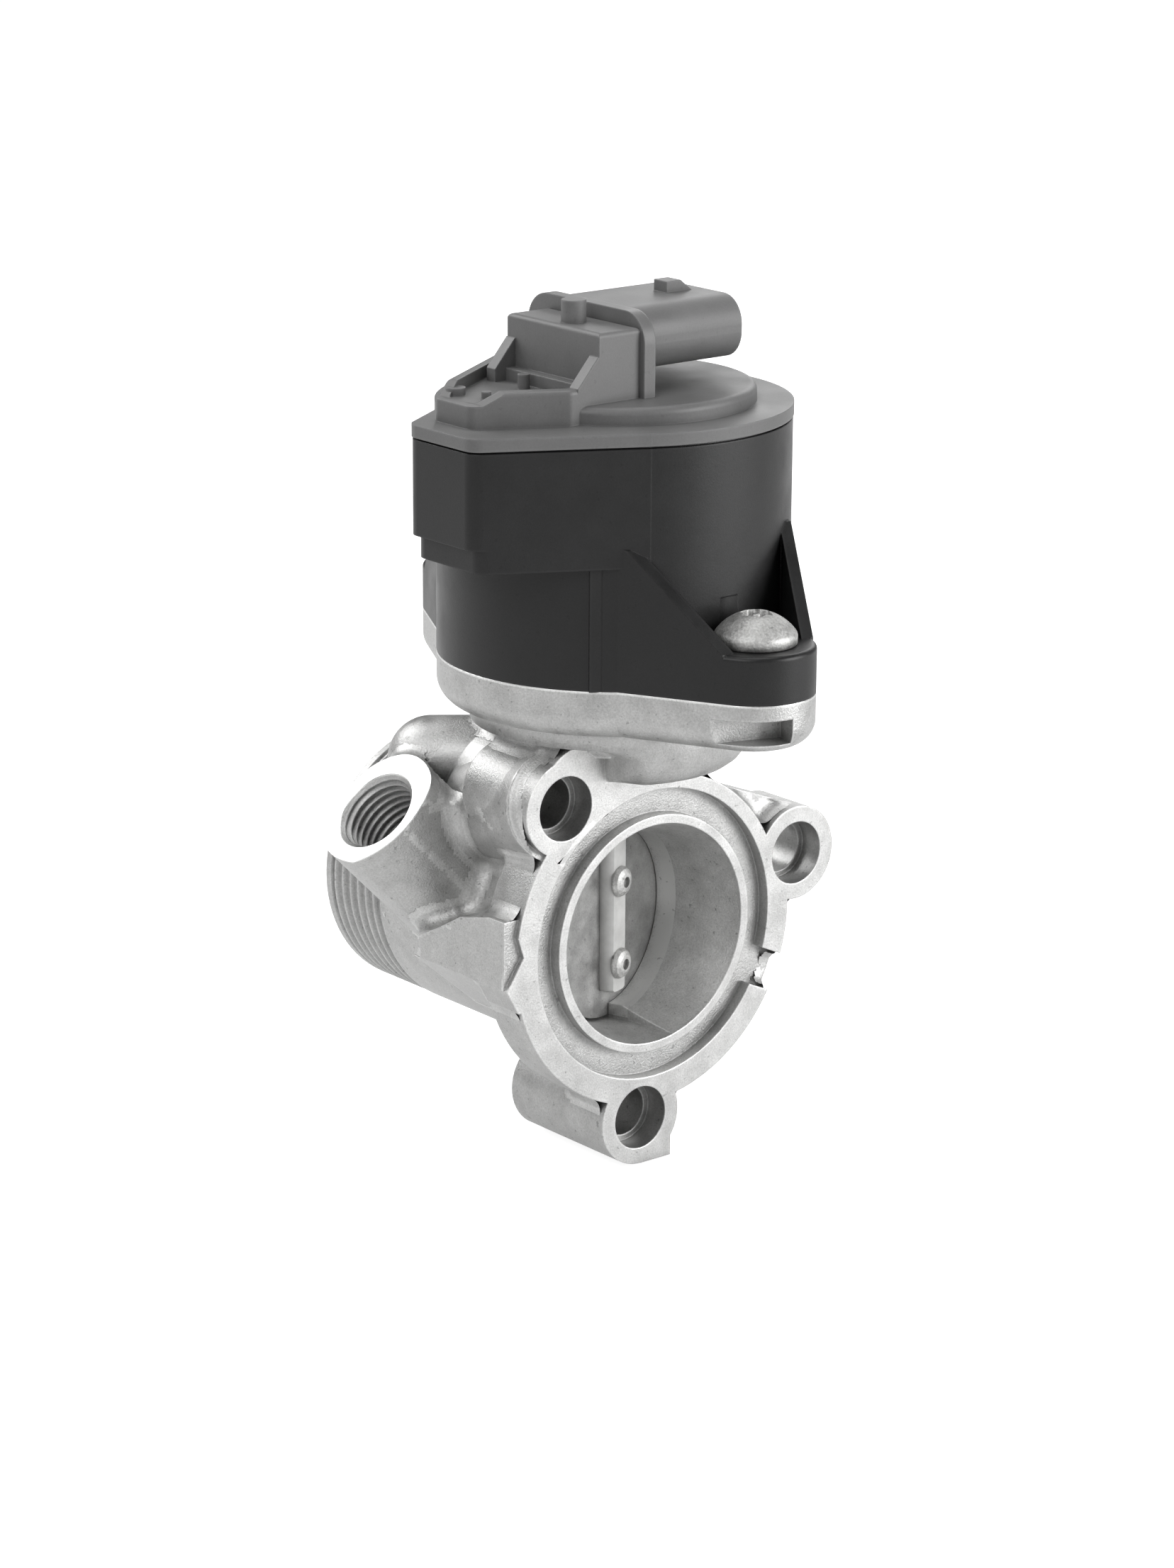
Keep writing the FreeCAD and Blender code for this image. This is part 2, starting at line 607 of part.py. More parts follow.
def stop_rib(edge, way):
    """Rib on the wall that stops the sector; edge is where the sector's flank ends up."""
    radius = 20.0
    half = 1.7
    angle = edge + way * math.degrees(math.asin((half + 0.35) / radius))
    rib = block(radius - 2.0, BODY_R - 1.0, -half, half, OUT_Z[0] - 5.0, OUT_Z[1])
    rib.rotate(vec(0, 0, 0), vec(0, 0, 1), angle)
    return rib


def screw_sleeves():
    """Steel sleeves that carry the screw load through the plastic lugs."""
    sleeves = []
    for side in (-1, 1):
        outer = upright(SCREW_R + 1.7, JOINT_Z, LUG_TOP, 0, side * SCREW_Y)
        inner = upright(SCREW_R + 0.3, JOINT_Z - 1, LUG_TOP + 1, 0, side * SCREW_Y)
        sleeves.append(outer.cut(inner))
    return Part.makeCompound(sleeves)


def actuator_screws():
    """Two pan-head screws that hold the actuator on the casting."""
    screws = []
    for side in (-1, 1):
        base = (0, side * SCREW_Y, LUG_TOP)
        r = SCREW_HEAD_R
        head = turned([(0, 0), (r, 0), (r, 1.9), (r - 0.5, 2.6), (r - 1.9, 4.2), (r - 3.6, 5.1),
                       (0, SCREW_HEAD_H)], base)
        socket = upright(2.6, LUG_TOP + 2.6, LUG_TOP + 7, 0, side * SCREW_Y)
        star = []
        for i in range(6):
            x, y = polar(2.55, i * 60.0)
            star.append(upright(0.62, LUG_TOP + 2.6, LUG_TOP + 7, x, side * SCREW_Y + y))
        shank = upright(SCREW_R, JOINT_Z - BASE_T + 0.4, LUG_TOP + 0.1, 0, side * SCREW_Y)
        screws.append(head.fuse(shank).cut([socket.cut(star)]).removeSplitter())
    return Part.makeCompound(screws)


def base_seal():
    """O-ring round the casting's pilot."""
    ring = Part.makeTorus(PILOT_R - 0.92, 0.9, vec(0, 0, JOINT_Z + 1.2), vec(0, 0, 1))
    return ring


# Cover
def cover_seal():
    """Flat seal in the step of the housing."""
    outer = actuator_outline(SEAM_Z - 1.5, SEAM_Z, 1.25)
    inner = actuator_outline(SEAM_Z - 2.0, SEAM_Z + 0.5, WALL)
    return outer.cut(inner)


def cover_shell():
    """Outside of the cover up to the tray, without the connector."""
    lip = actuator_outline(SEAM_Z, SEAM_Z + LIP_T, -0.15)
    disc = upright(DISC_R, SEAM_Z + LIP_T - 0.1, DISC_TOP)
    disc = soften(disc, 1.2, at_height(DISC_TOP))
    tray = tray_block(0.0, SEAM_Z + LIP_T - 0.1, RIM_TOP)
    top = RIM_TOP + 5
    ramp = prism_y([(-45, TRAY_TOP), (-33.0, TRAY_TOP), (-29.5, RIM_TOP), (-29.5, top), (-45, top)],
                   -40, 40)
    tray = soften(tray.cut(ramp), 0.8, at_height(RIM_TOP))
    return merge(lip, disc, soften(tray, 1.6, at_height(TRAY_TOP)))


def tray_block(inset, z0, z1):
    """Raised part over the gears; its walls are drawn in by inset."""
    front = TRAY_FRONT - inset
    left = TRAY_LEFT + inset
    back = TRAY_BACK - inset
    points = [(left, (-0.4706 * left - front) / 0.882),
              ((-front - 0.882 * (-14.0 + inset)) / 0.4706, -14.0 + inset),
              (-8.0, -14.0 + inset), (-8.0, (back - 0.539 * 12.0) / 0.842),
              (-12.0, (back - 0.539 * 12.0) / 0.842), (left, (back + 0.539 * left) / 0.842)]
    solid = prism(points, z0, z1)
    corner = 1.6

    def corner_edge(edge):
        box = edge.BoundBox
        return box.XLength < 0.01 and box.YLength < 0.01 and box.XMin < -15
    return soften(solid, corner, corner_edge)


def riser_side(y0, y1):
    """Gusset on one side of the riser."""
    low = DISC_TOP - 0.6
    high = RISER_TOP - 3.8
    return prism_y([(RISER_X[0] - 0.2, high), (RISER_X[0] - 4.3, RIM_TOP), (RISER_X[0] - 4.3, low),
                    (RISER_X[1], low), (RISER_X[1], high)], y0, y1)


def shroud(shrink, x0, x1):
    """Rounded box along X round the connector pins."""
    y = SHROUD_Y - shrink
    solid = block(x0, x1, -y, y, SHROUD_Z[0] + shrink, SHROUD_Z[1] - shrink)

    def lengthwise(edge):
        box = edge.BoundBox
        return box.YLength < 0.01 and box.ZLength < 0.01
    return soften(solid, max(0.8, 4.6 - shrink), lengthwise)


def actuator_cover():
    """Grey plastic cover with the connector."""
    shell = cover_shell()
    riser = block(RISER_X[0], RISER_X[1], RISER_Y[0], RISER_Y[1], DISC_TOP - 1, RISER_TOP)
    riser = soften(riser, 0.8, at_height(RISER_TOP))
    gussets = [riser_side(RISER_Y[0], RISER_Y[0] + 2.2), riser_side(RISER_Y[1] - 2.2, RISER_Y[1])]
    collar = block(COLLAR_X[0], COLLAR_X[1], -COLLAR_Y, COLLAR_Y, DISC_TOP - 1, COLLAR_TOP)

    def top_corner(edge):
        box = edge.BoundBox
        return box.YLength < 0.01 and box.ZLength < 0.01 and box.ZMin > COLLAR_TOP - 1
    collar = soften(collar, 5.0, top_corner)
    post = upright(2.05, RISER_TOP - 1, RISER_TOP + 3.7, -11.3, -3.2)
    neck = block(COLLAR_X[1] - 1, 2.4, -6, 6, DISC_TOP - 0.5, SHROUD_Z[0] + 1)
    key = prism_y([(9.6, SHROUD_Z[1] - 1), (9.6, SHROUD_Z[1] + 1.9), (12.6, SHROUD_Z[1] + 1.9),
                   (15.0, SHROUD_Z[1])], -1.6, 1.6)
    tray_floor = tray_block(2.0, TRAY_TOP, RIM_TOP + 1)
    tray_floor = tray_floor.cut(block(RISER_X[0] - 2.0, 10, -40, 40, SEAM_Z, RIM_TOP + 2))
    body = shell.cut(tray_floor)
    body = merge(body, riser, *gussets, collar, post, neck,
                 shroud(0, COLLAR_X[1] - 1, SHROUD_X), key)
    for x, y, radius, height in TRAY_POSTS:
        body = merge(body, upright(radius, TRAY_TOP - 1.0, TRAY_TOP + height, x, y))
    mouth = shroud(SHROUD_WALL, SHROUD_X - SHROUD_DEPTH, SHROUD_X + 1)
    disc_room = upright(DISC_R - COVER_WALL, SEAM_Z - 1, DISC_TOP - COVER_WALL)
    tray_room = tray_block(1.8, SEAM_Z - 1, TRAY_TOP - 2.2)
    tray_room = tray_room.fuse(box_part(SEAM_Z - 1, SEAM_Z, 6.6, 1.5))
    riser_room = block(RISER_X[0] + 2, RISER_X[1] - 0.4, -8.0, 8.0, DISC_TOP - 4, RISER_TOP - 2.0)
    body = carve(body, [mouth, disc_room, tray_room, riser_room])
    px, py = polar(GEAR_DIST, GEAR_ANGLE)
    boss = upright(GEAR_PIN_R + 1.5, SMALL_Z[1] + 0.6, TRAY_TOP - 2.0, px, py)
    cleats = [upright(1.6, BOARD_Z[1], DISC_TOP - 1.0, *polar(17.6, a)) for a in (-60, 30, 120)]
    body = merge(body, boss, *cleats)
    pins = [upright(GEAR_PIN_R + 0.02, SMALL_Z[1], SMALL_Z[1] + 3.0, px, py)]
    pins += [block(RISER_X[1] - 1.0, SHROUD_X - SHROUD_DEPTH + 1, y - PIN_W / 2, y + PIN_W / 2,
                   PIN_Z - PIN_W / 2, PIN_Z + PIN_W / 2) for y in pin_places()]
    return carve(body, pins)


PIN_Z = 0.5 * (SHROUD_Z[0] + SHROUD_Z[1])


def pin_places():
    """Y of each connector pin."""
    return [(i - (PIN_COUNT - 1) / 2) * PIN_PITCH for i in range(PIN_COUNT)]


def connector_pins():
    """Bent pins from the circuit board into the connector."""
    pins = []
    back = RISER_X[1] - 2.0
    for y in pin_places():
        level = block(back, SHROUD_X - 5.0, y - PIN_W / 2, y + PIN_W / 2,
                      PIN_Z - PIN_W / 2, PIN_Z + PIN_W / 2)
        drop = block(back, back + PIN_W, y - PIN_W / 2, y + PIN_W / 2,
                     BOARD_Z[1], PIN_Z + PIN_W / 2)
        pins.append(merge(level, drop))
    return Part.makeCompound(pins)


# Gears
def involute(angle):
    """Involute function."""
    return math.tan(angle) - angle


def flank_angle(base, half, pitch_r, radius):
    """Half tooth angle at a radius."""
    here = math.acos(min(1.0, base / radius))
    return half + involute(PRESSURE) - involute(here) if radius > base else \
        half + involute(PRESSURE)


def tooth_points(module, teeth, shift, centre_angle):
    """Outline points of one tooth, from its left root to its right root."""
    pitch_r = module * teeth / 2
    base = pitch_r * math.cos(PRESSURE)
    tip = pitch_r + module * (ADDENDUM + shift)
    root = pitch_r - module * (1.1 - shift)
    thick = module * (math.pi / 2 + 2 * shift * math.tan(PRESSURE)) - BACKLASH / 2
    half = thick / (2 * pitch_r)
    low = max(root, base)
    radii = [root] + [low + (tip - low) * i / 3 for i in range(1 if low == root else 0, 4)]
    left = []
    for radius in radii:
        a = centre_angle - flank_angle(base, half, pitch_r, max(radius, low))
        left.append((radius * math.cos(a), radius * math.sin(a)))
    right = []
    for radius in reversed(radii):
        a = centre_angle + flank_angle(base, half, pitch_r, max(radius, low))
        right.append((radius * math.cos(a), radius * math.sin(a)))
    return left + right


def spur_gear(module, teeth, shift, z, start):
    """Full spur gear with a tooth centred at the start angle."""
    points = []
    for i in range(teeth):
        points += tooth_points(module, teeth, shift, start + 2 * math.pi * i / teeth)
    return prism(points, z[0], z[1])


def output_gear():
    """Toothed sector with the hub that the return spring sits on."""
    mesh = math.radians(GEAR_ANGLE)
    pitch_r = OUT_MODULE * OUT_TEETH / 2
    root = pitch_r - OUT_MODULE * (1.1 + SHIFT)
    step = 2 * math.pi / OUT_TEETH
    first = math.ceil((math.radians(SECTOR[0]) - mesh) / step + 0.5)
    last = math.floor((math.radians(SECTOR[1]) - mesh) / step - 0.5)
    edges = [polar(root, a) for a in SECTOR]
    points = [(0.0, 0.0), edges[0]]
    for i in range(first, last + 1):
        points += tooth_points(OUT_MODULE, OUT_TEETH, -SHIFT, mesh + i * step)
    points.append(edges[1])
    teeth = prism(points, OUT_Z[0], OUT_Z[1])
    hub = upright(HUB_R, OUT_Z[0] - 5.8, OUT_Z[1])
    disc = upright(11.5, OUT_Z[0], OUT_Z[1] - 1.5)
    gear = merge(teeth, hub, disc)
    mid = math.radians(0.5 * (SECTOR[0] + SECTOR[1]))
    cuts = []
    for turn in (-0.55, 0.0, 0.55):
        x = 15.6 * math.cos(mid + turn)
        y = 15.6 * math.sin(mid + turn)
        cuts.append(upright(2.9, OUT_Z[0] - 1, OUT_Z[1] + 1, x, y))
    bore = upright(SHAFT_R, OUT_Z[0] - 7, OUT_Z[1] + 1)
    flat = flap_frame(block(-5, 5, 2.4, 5, OUT_Z[0] - 7, OUT_Z[1] + 1))
    return carve(gear, cuts + [bore.cut(flat)])


def intermediate_gear():
    """Two-step gear between pinion and sector."""
    px, py = polar(GEAR_DIST, GEAR_ANGLE)
    toward = math.radians(GEAR_ANGLE)
    small_start = toward + math.pi + math.pi / SMALL_TEETH
    big_start = toward + math.pi + math.pi / BIG_TEETH
    small = spur_gear(OUT_MODULE, SMALL_TEETH, SHIFT, (SMALL_Z[0] - 0.1, SMALL_Z[1]), small_start)
    big = spur_gear(IN_MODULE, BIG_TEETH, -SHIFT, BIG_Z, big_start)
    gear = small.fuse(big)
    gear = gear.cut(upright(GEAR_PIN_R + RUN_GAP, BIG_Z[0] - 1, SMALL_Z[1] + 1)).removeSplitter()
    gear.translate(vec(px, py, 0))
    return gear


def gear_pin():
    """Steel pin of the intermediate gear."""
    px, py = polar(GEAR_DIST, GEAR_ANGLE)
    pin = upright(GEAR_PIN_R, MOTOR_Z[1] + 0.3, SMALL_Z[1] + 2.9, px, py)
    return soften(pin, 0.3, at_height(SMALL_Z[1] + 2.9))


def return_spring():
    """Torsion spring round the hub of the output gear, with two straight legs."""
    height = SPRING_Z[1] - SPRING_Z[0]
    helix = Part.makeHelix(height / SPRING_TURNS, height, SPRING_R)
    helix.translate(vec(0, 0, SPRING_Z[0]))
    start = vec(SPRING_R, 0, SPRING_Z[0])
    tangent = vec(0, 1, height / SPRING_TURNS / (2 * math.pi * SPRING_R))
    ring = Part.Wire(Part.makeCircle(SPRING_WIRE, start, tangent))
    coil = Part.Wire(helix).makePipeShell([ring], True, True)
    legs = []
    for face in coil.Faces:
        if isinstance(face.Surface, Part.Plane):
            way = -1 if face.CenterOfMass.z < SPRING_Z[0] + 0.1 else 1
            legs.append(face.extrude(tangent * (way * SPRING_LEG / tangent.Length)))
    for leg in legs:
        coil = coil.fuse(leg)
    return coil


def gear_plate():
    """Steel plate over the motor that carries the return spring."""
    plate = upright(BODY_R - WALL - 0.2, PLATE_Z[0], PLATE_Z[1])
    px, py = polar(GEAR_DIST, GEAR_ANGLE)
    mx, my = polar(MOTOR_DIST, GEAR_ANGLE)
    holes = [upright(GEAR_PIN_R + 1.8, PLATE_Z[0] - 1, PLATE_Z[1] + 1, px, py),
             upright(3.4, PLATE_Z[0] - 1, PLATE_Z[1] + 1, mx, my),
             upright(SHAFT_R + 0.8, PLATE_Z[0] - 1, PLATE_Z[1] + 1)]
    for x, y in LEAD_PLACES:
        holes.append(block(x - 1.0, x + 1.0, y - 1.4, y + 1.4, PLATE_Z[0] - 1, PLATE_Z[1] + 1))
    return carve(plate, holes)


def sensor_magnet():
    """Ring magnet on the output gear for the position sensor."""
    ring = upright(MAGNET_R, OUT_Z[1], MAGNET_Z[1])
    return ring.cut(upright(SHAFT_R + 0.1, OUT_Z[1] - 1, MAGNET_Z[1] + 1))


# Motor
def motor_place(shape):
    """Shift a part built on Z to the motor axis."""
    mx, my = polar(MOTOR_DIST, GEAR_ANGLE)
    shape.translate(vec(mx, my, 0))
    return shape


def motor_can():
    """Drawn steel can, open at the bottom."""
    z0, z1 = MOTOR_Z
    can = upright(MOTOR_R, z0 + 2.0, z1)
    can = soften(can, 0.8, at_height(z1))
    can = can.cut([upright(MOTOR_R - CAN_WALL, z0 + 1, z1 - CAN_WALL),
                   upright(2.6, z1 - 2, z1 + 1)])
    return motor_place(can)


def motor_end_cap():
    """Plastic end cap with the brush holders."""
    z0 = MOTOR_Z[0]
    cap = upright(MOTOR_R, z0, z0 + 2.0).fuse(upright(MOTOR_R - CAN_WALL, z0 + 1, z0 + 3.4))
    cap = cap.cut(upright(MOTOR_SHAFT_R + RUN_GAP, z0 + 0.6, z0 + 5))
    cap = cap.cut(upright(5.0, z0 + 2.2, z0 + 5))
    return motor_place(cap.removeSplitter())


def motor_bush():
    """Bearing in the top of the can."""
    z1 = MOTOR_Z[1]
    ring = upright(2.6, z1 - CAN_WALL - 0.8, z1 + 0.3)
    return motor_place(ring.cut(upright(MOTOR_SHAFT_R + RUN_GAP, z1 - 4, z1 + 2)))


def motor_magnets():
    """Two curved magnets inside the can."""
    z0, z1 = MOTOR_Z
    ring = upright(MOTOR_R - CAN_WALL, z0 + 4.0, z1 - 3.0)
    ring = ring.cut(upright(MAGNET_IN, z0, z1))
    ring = ring.cut(block(-2.5, 2.5, -20, 20, z0, z1))
    return motor_place(Part.makeCompound(ring.Solids))


def motor_armature():
    """Slotted armature with its commutator."""
    z0, z1 = MOTOR_Z
    core = upright(ARMATURE_R, z0 + 5.5, z1 - 4.0)
    slots = []
    for i in range(5):
        slot = block(ARMATURE_R - 2.6, ARMATURE_R + 1, -0.7, 0.7, z0, z1)
        slot.rotate(vec(0, 0, 0), vec(0, 0, 1), 72.0 * i)
        slots.append(slot)
    core = core.cut(slots).fuse(upright(3.0, z0 + 2.6, z0 + 5.6))
    core = core.cut(upright(MOTOR_SHAFT_R, z0, z1))
    return motor_place(core.removeSplitter())


def motor_shaft():
    """Motor shaft."""
    return motor_place(upright(MOTOR_SHAFT_R, MOTOR_Z[0] + 0.8, PINION_Z[1]))


def motor_pinion():
    """Brass pinion pressed on the motor shaft."""
    gear = spur_gear(IN_MODULE, PINION_TEETH, SHIFT, PINION_Z, math.radians(GEAR_ANGLE))
    return motor_place(gear.cut(upright(MOTOR_SHAFT_R, PINION_Z[0] - 1, PINION_Z[1] + 1)))


# Electronics
def circuit_board():
    """Round board under the cover."""
    board = upright(BOARD_R, BOARD_Z[0], BOARD_Z[1])
    board = board.cut(block(-30, -13.6, -30, 30, BOARD_Z[0] - 1, BOARD_Z[1] + 1))
    return board


def board_parts():
    """Sensor chip under the board and the capacitors on it."""
    chip = block(-2.6, 2.6, -2.2, 2.2, BOARD_Z[0] - 1.1, BOARD_Z[0])
    parts = [chip]
    for x, y in ((6.5, 5.5), (6.5, -5.5), (11.0, 0.0)):
        parts.append(block(x - 1.6, x + 1.6, y - 0.8, y + 0.8, BOARD_Z[1], BOARD_Z[1] + 0.8))
    return Part.makeCompound(parts)


def motor_leads():
    """Two contact blades from the board down to the motor."""
    floor = JOINT_Z + FLOOR_T
    blades = []
    for x, y in LEAD_PLACES:
        post = block(x - 0.4, x + 0.4, y - 0.8, y + 0.8, floor, BOARD_Z[0])
        foot = block(-7.0, x, y - 0.8, y + 0.8, floor, floor + 0.6)
        blades.append(merge(post, foot))
    return Part.makeCompound(blades)


PARTS = {
    "valve_housing": valve_housing,
    "flap_shaft": flap_shaft,
    "flap_plate": flap_plate,
    "flap_screws": flap_screws,
    "lower_bush": lambda: bush(*LOWER_BUSH),
    "upper_bush": lambda: bush(*UPPER_BUSH),
    "shaft_seal": shaft_seal,
    "actuator_housing": actuator_housing,
    "screw_sleeves": screw_sleeves,
    "actuator_screws": actuator_screws,
    "base_seal": base_seal,
    "cover_seal": cover_seal,
    "actuator_cover": actuator_cover,
    "connector_pins": connector_pins,
    "output_gear": output_gear,
    "intermediate_gear": intermediate_gear,
    "gear_pin": gear_pin,
    "gear_plate": gear_plate,
    "return_spring": return_spring,
    "sensor_magnet": sensor_magnet,
    "motor_can": motor_can,
    "motor_end_cap": motor_end_cap,
    "motor_bush": motor_bush,
    "motor_magnets": motor_magnets,
    "motor_armature": motor_armature,
    "motor_shaft": motor_shaft,
    "motor_pinion": motor_pinion,
    "circuit_board": circuit_board,
    "board_parts": board_parts,
    "motor_leads": motor_leads,
}

for part_name, build in PARTS.items():
    save(part_name, build())
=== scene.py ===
"""Looks of the exhaust gas recirculation valve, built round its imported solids.

Frame: metres, +Z up along the flap shaft, gas bore along Y, flange face towards -Y.
"""

import logging
import math
from collections.abc import Callable
from dataclasses import dataclass, field
from enum import Enum

import bmesh
import bpy
import numpy as np
import openvdb
from mathutils import Matrix, Vector

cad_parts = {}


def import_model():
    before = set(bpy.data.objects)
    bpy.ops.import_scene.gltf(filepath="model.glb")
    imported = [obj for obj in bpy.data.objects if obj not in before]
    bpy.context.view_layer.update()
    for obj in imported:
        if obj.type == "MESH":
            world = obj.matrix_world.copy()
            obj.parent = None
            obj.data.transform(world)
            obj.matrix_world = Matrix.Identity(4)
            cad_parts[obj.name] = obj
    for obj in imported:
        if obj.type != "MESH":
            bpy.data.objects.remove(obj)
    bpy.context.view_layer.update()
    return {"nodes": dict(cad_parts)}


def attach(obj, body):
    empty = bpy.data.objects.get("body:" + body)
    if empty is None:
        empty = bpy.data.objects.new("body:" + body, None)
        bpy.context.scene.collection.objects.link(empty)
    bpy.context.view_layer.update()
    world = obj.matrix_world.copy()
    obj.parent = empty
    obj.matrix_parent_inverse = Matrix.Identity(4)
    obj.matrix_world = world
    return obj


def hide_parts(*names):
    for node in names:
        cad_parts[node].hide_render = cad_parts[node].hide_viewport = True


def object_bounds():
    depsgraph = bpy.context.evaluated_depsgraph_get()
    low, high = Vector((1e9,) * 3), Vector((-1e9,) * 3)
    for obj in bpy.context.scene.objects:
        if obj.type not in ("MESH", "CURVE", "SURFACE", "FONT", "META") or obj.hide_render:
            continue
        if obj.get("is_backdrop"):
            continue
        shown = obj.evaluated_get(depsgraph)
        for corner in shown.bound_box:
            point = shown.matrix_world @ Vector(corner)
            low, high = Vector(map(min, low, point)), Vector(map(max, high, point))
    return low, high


LOG = logging.getLogger("egr_valve")
MM = 0.001

# Places on the solids, in millimetres and degrees
FLANGE_Y = -11.8                                          # mounting face
LUG_HOLES = ((-19.4, 25.5), (31.5, 8.3), (-2.9, -32.1))   # x, z
PORT = (-36.4, 17.6, 21.5)                                # middle of the sensor port's face
SEAT_Z = 47.0                                             # lower end of the milled seat's edge
SCREW_Y = 36.0                                            # actuator screws, on both sides
SCREW_SEAT_Z = 55.42                                      # underside of their heads
FLAP_TILT = 18.0                                          # closed flap

# Stretches of a noise's values, or of the openness, over which a pattern runs
CLOUDS = (0.32, 0.68)
SPREAD = (0.3, 0.7)
PITS = (0.66, 0.74)
# openness stretches of the painted shade in corners and of the painted highlight on outer edges
CORNERS = (0.35, 0.9)
EDGES = (0.45, 0.9)

PIT_SIZE = 0.9 * MM
PIT_DEPTH = 2.5          # times the speckle
# reach of the painted highlight on outer edges
EDGE_HIGHLIGHT_REACH = 0.5 * MM
HEADROOM = 1.6           # highest tone that a colour may take
SAMPLES = 6              # rays of the nodes that look round a point

Point = tuple[float, float, float]
Ring = tuple[np.ndarray | float, np.ndarray | float]      # radius and height
Socket = bpy.types.NodeSocket
Value = Socket | float | tuple[float, ...]


class Body(Enum):
    """Rigid bodies of the valve."""

    HOUSING = "housing"
    FLAP = "flap"
    MIDDLE = "intermediate"
    ROTOR = "rotor"


class Grain(Enum):
    """Direction in which the fine relief of a finish is drawn out."""

    SAND = (1.0, 1.0, 1.0)
    BRUSHED = (1.0, 1.0, 0.05)
    TURNED = (0.08, 0.08, 1.0)


class Graph:
    """Nodes of one material, with short calls for the usual ones.

    A call gives back the socket with its result. An input that is given a
    socket is linked to it, and any other value is set.
    """

    def __init__(self, name: str) -> None:
        """Start a material with nothing but its Object coordinates.

        Args:
            name: the material's name.
        """
        self.material = bpy.data.materials.new(name)
        self.material.use_nodes = True
        self.nodes = self.material.node_tree.nodes
        self.links = self.material.node_tree.links
        self.nodes.clear()
        self.place = self.nodes.new("ShaderNodeTexCoord").outputs["Object"]
        self.x, self.y, self.z = self.node("ShaderNodeSeparateXYZ", Vector=self.place).outputs

    def fill(self, socket: Socket, value: Value) -> None:
        """Link or set one input.

        Args:
            socket: the input.
            value: what goes in.
        """
        if isinstance(value, Socket):
            self.links.new(value, socket)
        else:
            socket.default_value = value

    def node(self, kind: str, **values: Value) -> bpy.types.Node:
        """Add a node.

        Args:
            kind: Blender's name of the node type.
            **values: its inputs by name, with _ in place of a space.

        Returns:
            The node.
        """
        made = self.nodes.new(kind)
        for name, value in values.items():
            self.fill(made.inputs[name.replace("_", " ")], value)
        return made

    def math(self, operation: str, *values: Socket | float) -> Socket:
        """Arithmetic on up to three numbers or sockets.

        Args:
            operation: Blender's name of it.
            *values: what it works on.

        Returns:
            The result.
        """
        made = self.nodes.new("ShaderNodeMath")
        made.operation = operation
        for socket, value in zip(made.inputs, values):
            self.fill(socket, value)
        return made.outputs[0]

    def product(self, first: Socket, *others: Socket) -> Socket:
        """Product of shares or tones.

        Args:
            first: one of them.
            *others: the others.

        Returns:
            The product, for shares 1 only where all of them are.
        """
        for other in others:
            first = self.math("MULTIPLY", first, other)
        return first

    def span(self, value: Socket, low: float, high: float, start: Socket | float = 0.0,
             end: Socket | float = 1.0) -> Socket:
        """Straight clamped passage from start to end while value goes from low to high."""
        return self.node("ShaderNodeMapRange", Value=value, From_Min=low, From_Max=high,
                         To_Min=start, To_Max=end).outputs["Result"]

    def noise(self, size: float, detail: float, rough: float = 0.55,
              grain: Grain = Grain.SAND) -> Socket:
        """Cloudy noise.

        Args:
            size: its period, in metres.
            detail: number of finer layers.
            rough: strength of each finer layer.
            grain: the way it is drawn out.

        Returns:
            The noise, from 0 to 1.
        """
        where = self.place
        if grain is not Grain.SAND:
            where = self.node("ShaderNodeMapping", Vector=where, Scale=grain.value).outputs[0]
        return self.node("ShaderNodeTexNoise", Vector=where, Scale=1.0 / size, Detail=detail,
                         Roughness=rough).outputs["Fac"]

    def closeness(self, reach: float, inside: bool = False) -> Socket:
        """How open the surface is, 1 on a plain and less in corners.

        Args:
            reach: how far to look, in metres.
            inside: look into the body, which finds its outer edges.

        Returns:
            The openness.
        """
        made = self.node("ShaderNodeAmbientOcclusion", Distance=reach)
        made.samples = SAMPLES
        made.inside = inside
        return made.outputs["AO"]

    def across(self, first: Socket, second: Socket) -> Socket:
        """Length of the diagonal over two sides."""
        squares = [self.math("MULTIPLY", side, side) for side in (first, second)]
        return self.math("SQRT", self.math("ADD", *squares))

    def off_axis(self, x: float, z: float) -> Socket:
        """Distance from an axis along Y, its place in millimetres."""
        return self.across(self.math("SUBTRACT", self.x, x * MM),
                           self.math("SUBTRACT", self.z, z * MM))

    def below(self, value: Socket, limit: float, soft: float = 0.05) -> Socket:
        """1 where a length is under the limit, 0 over it, both in millimetres."""
        return self.span(value, (limit - soft) * MM, (limit + soft) * MM, 1.0, 0.0)

    def above(self, value: Socket, start: float, full: float) -> Socket:
        """0 where a length is under start, 1 over full, both in millimetres."""
        return self.span(value, start * MM, full * MM)


@dataclass(frozen=True)
class Zone:
    """Part of a surface with another treatment, such as a machined face.

    Mask builds the share of the treatment from the graph. Tone multiplies the
    colour, roughness takes the place of the finish's, relief multiplies its
    relief.
    """

    mask: Callable[[Graph], Socket]
    tone: float
    roughness: float
    relief: float


def sensor_face(graph: Graph) -> Socket:
    """Machined end face of the sloping sensor port, a plane of even z - x. Its zone lifts the
    colour most of all, partly for the machined finish and partly as a painted highlight where the
    upper-left light falls.

    Args:
        graph: the material's nodes.

    Returns:
        The share of the face, 1 on it.
    """
    thick, right_end, top_end = 0.25, -26.0, 33.0
    off = graph.math("SUBTRACT", graph.math("SUBTRACT", graph.z, graph.x),
                     (PORT[2] - PORT[0]) * MM)
    flat = graph.below(graph.math("ABSOLUTE", off), thick)
    return graph.product(graph.below(graph.x, right_end), graph.below(graph.z, top_end), flat)


def flange_face(graph: Graph) -> Socket:
    """Milled mounting face, a plane of even y below the actuator's seat.

    Args:
        graph: the material's nodes.

    Returns:
        The share of the face, 1 on it.
    """
    thick, top_end = 0.1, 36.0
    off = graph.math("ABSOLUTE", graph.math("SUBTRACT", graph.y, FLANGE_Y * MM))
    return graph.product(graph.below(off, thick), graph.below(graph.z, top_end))


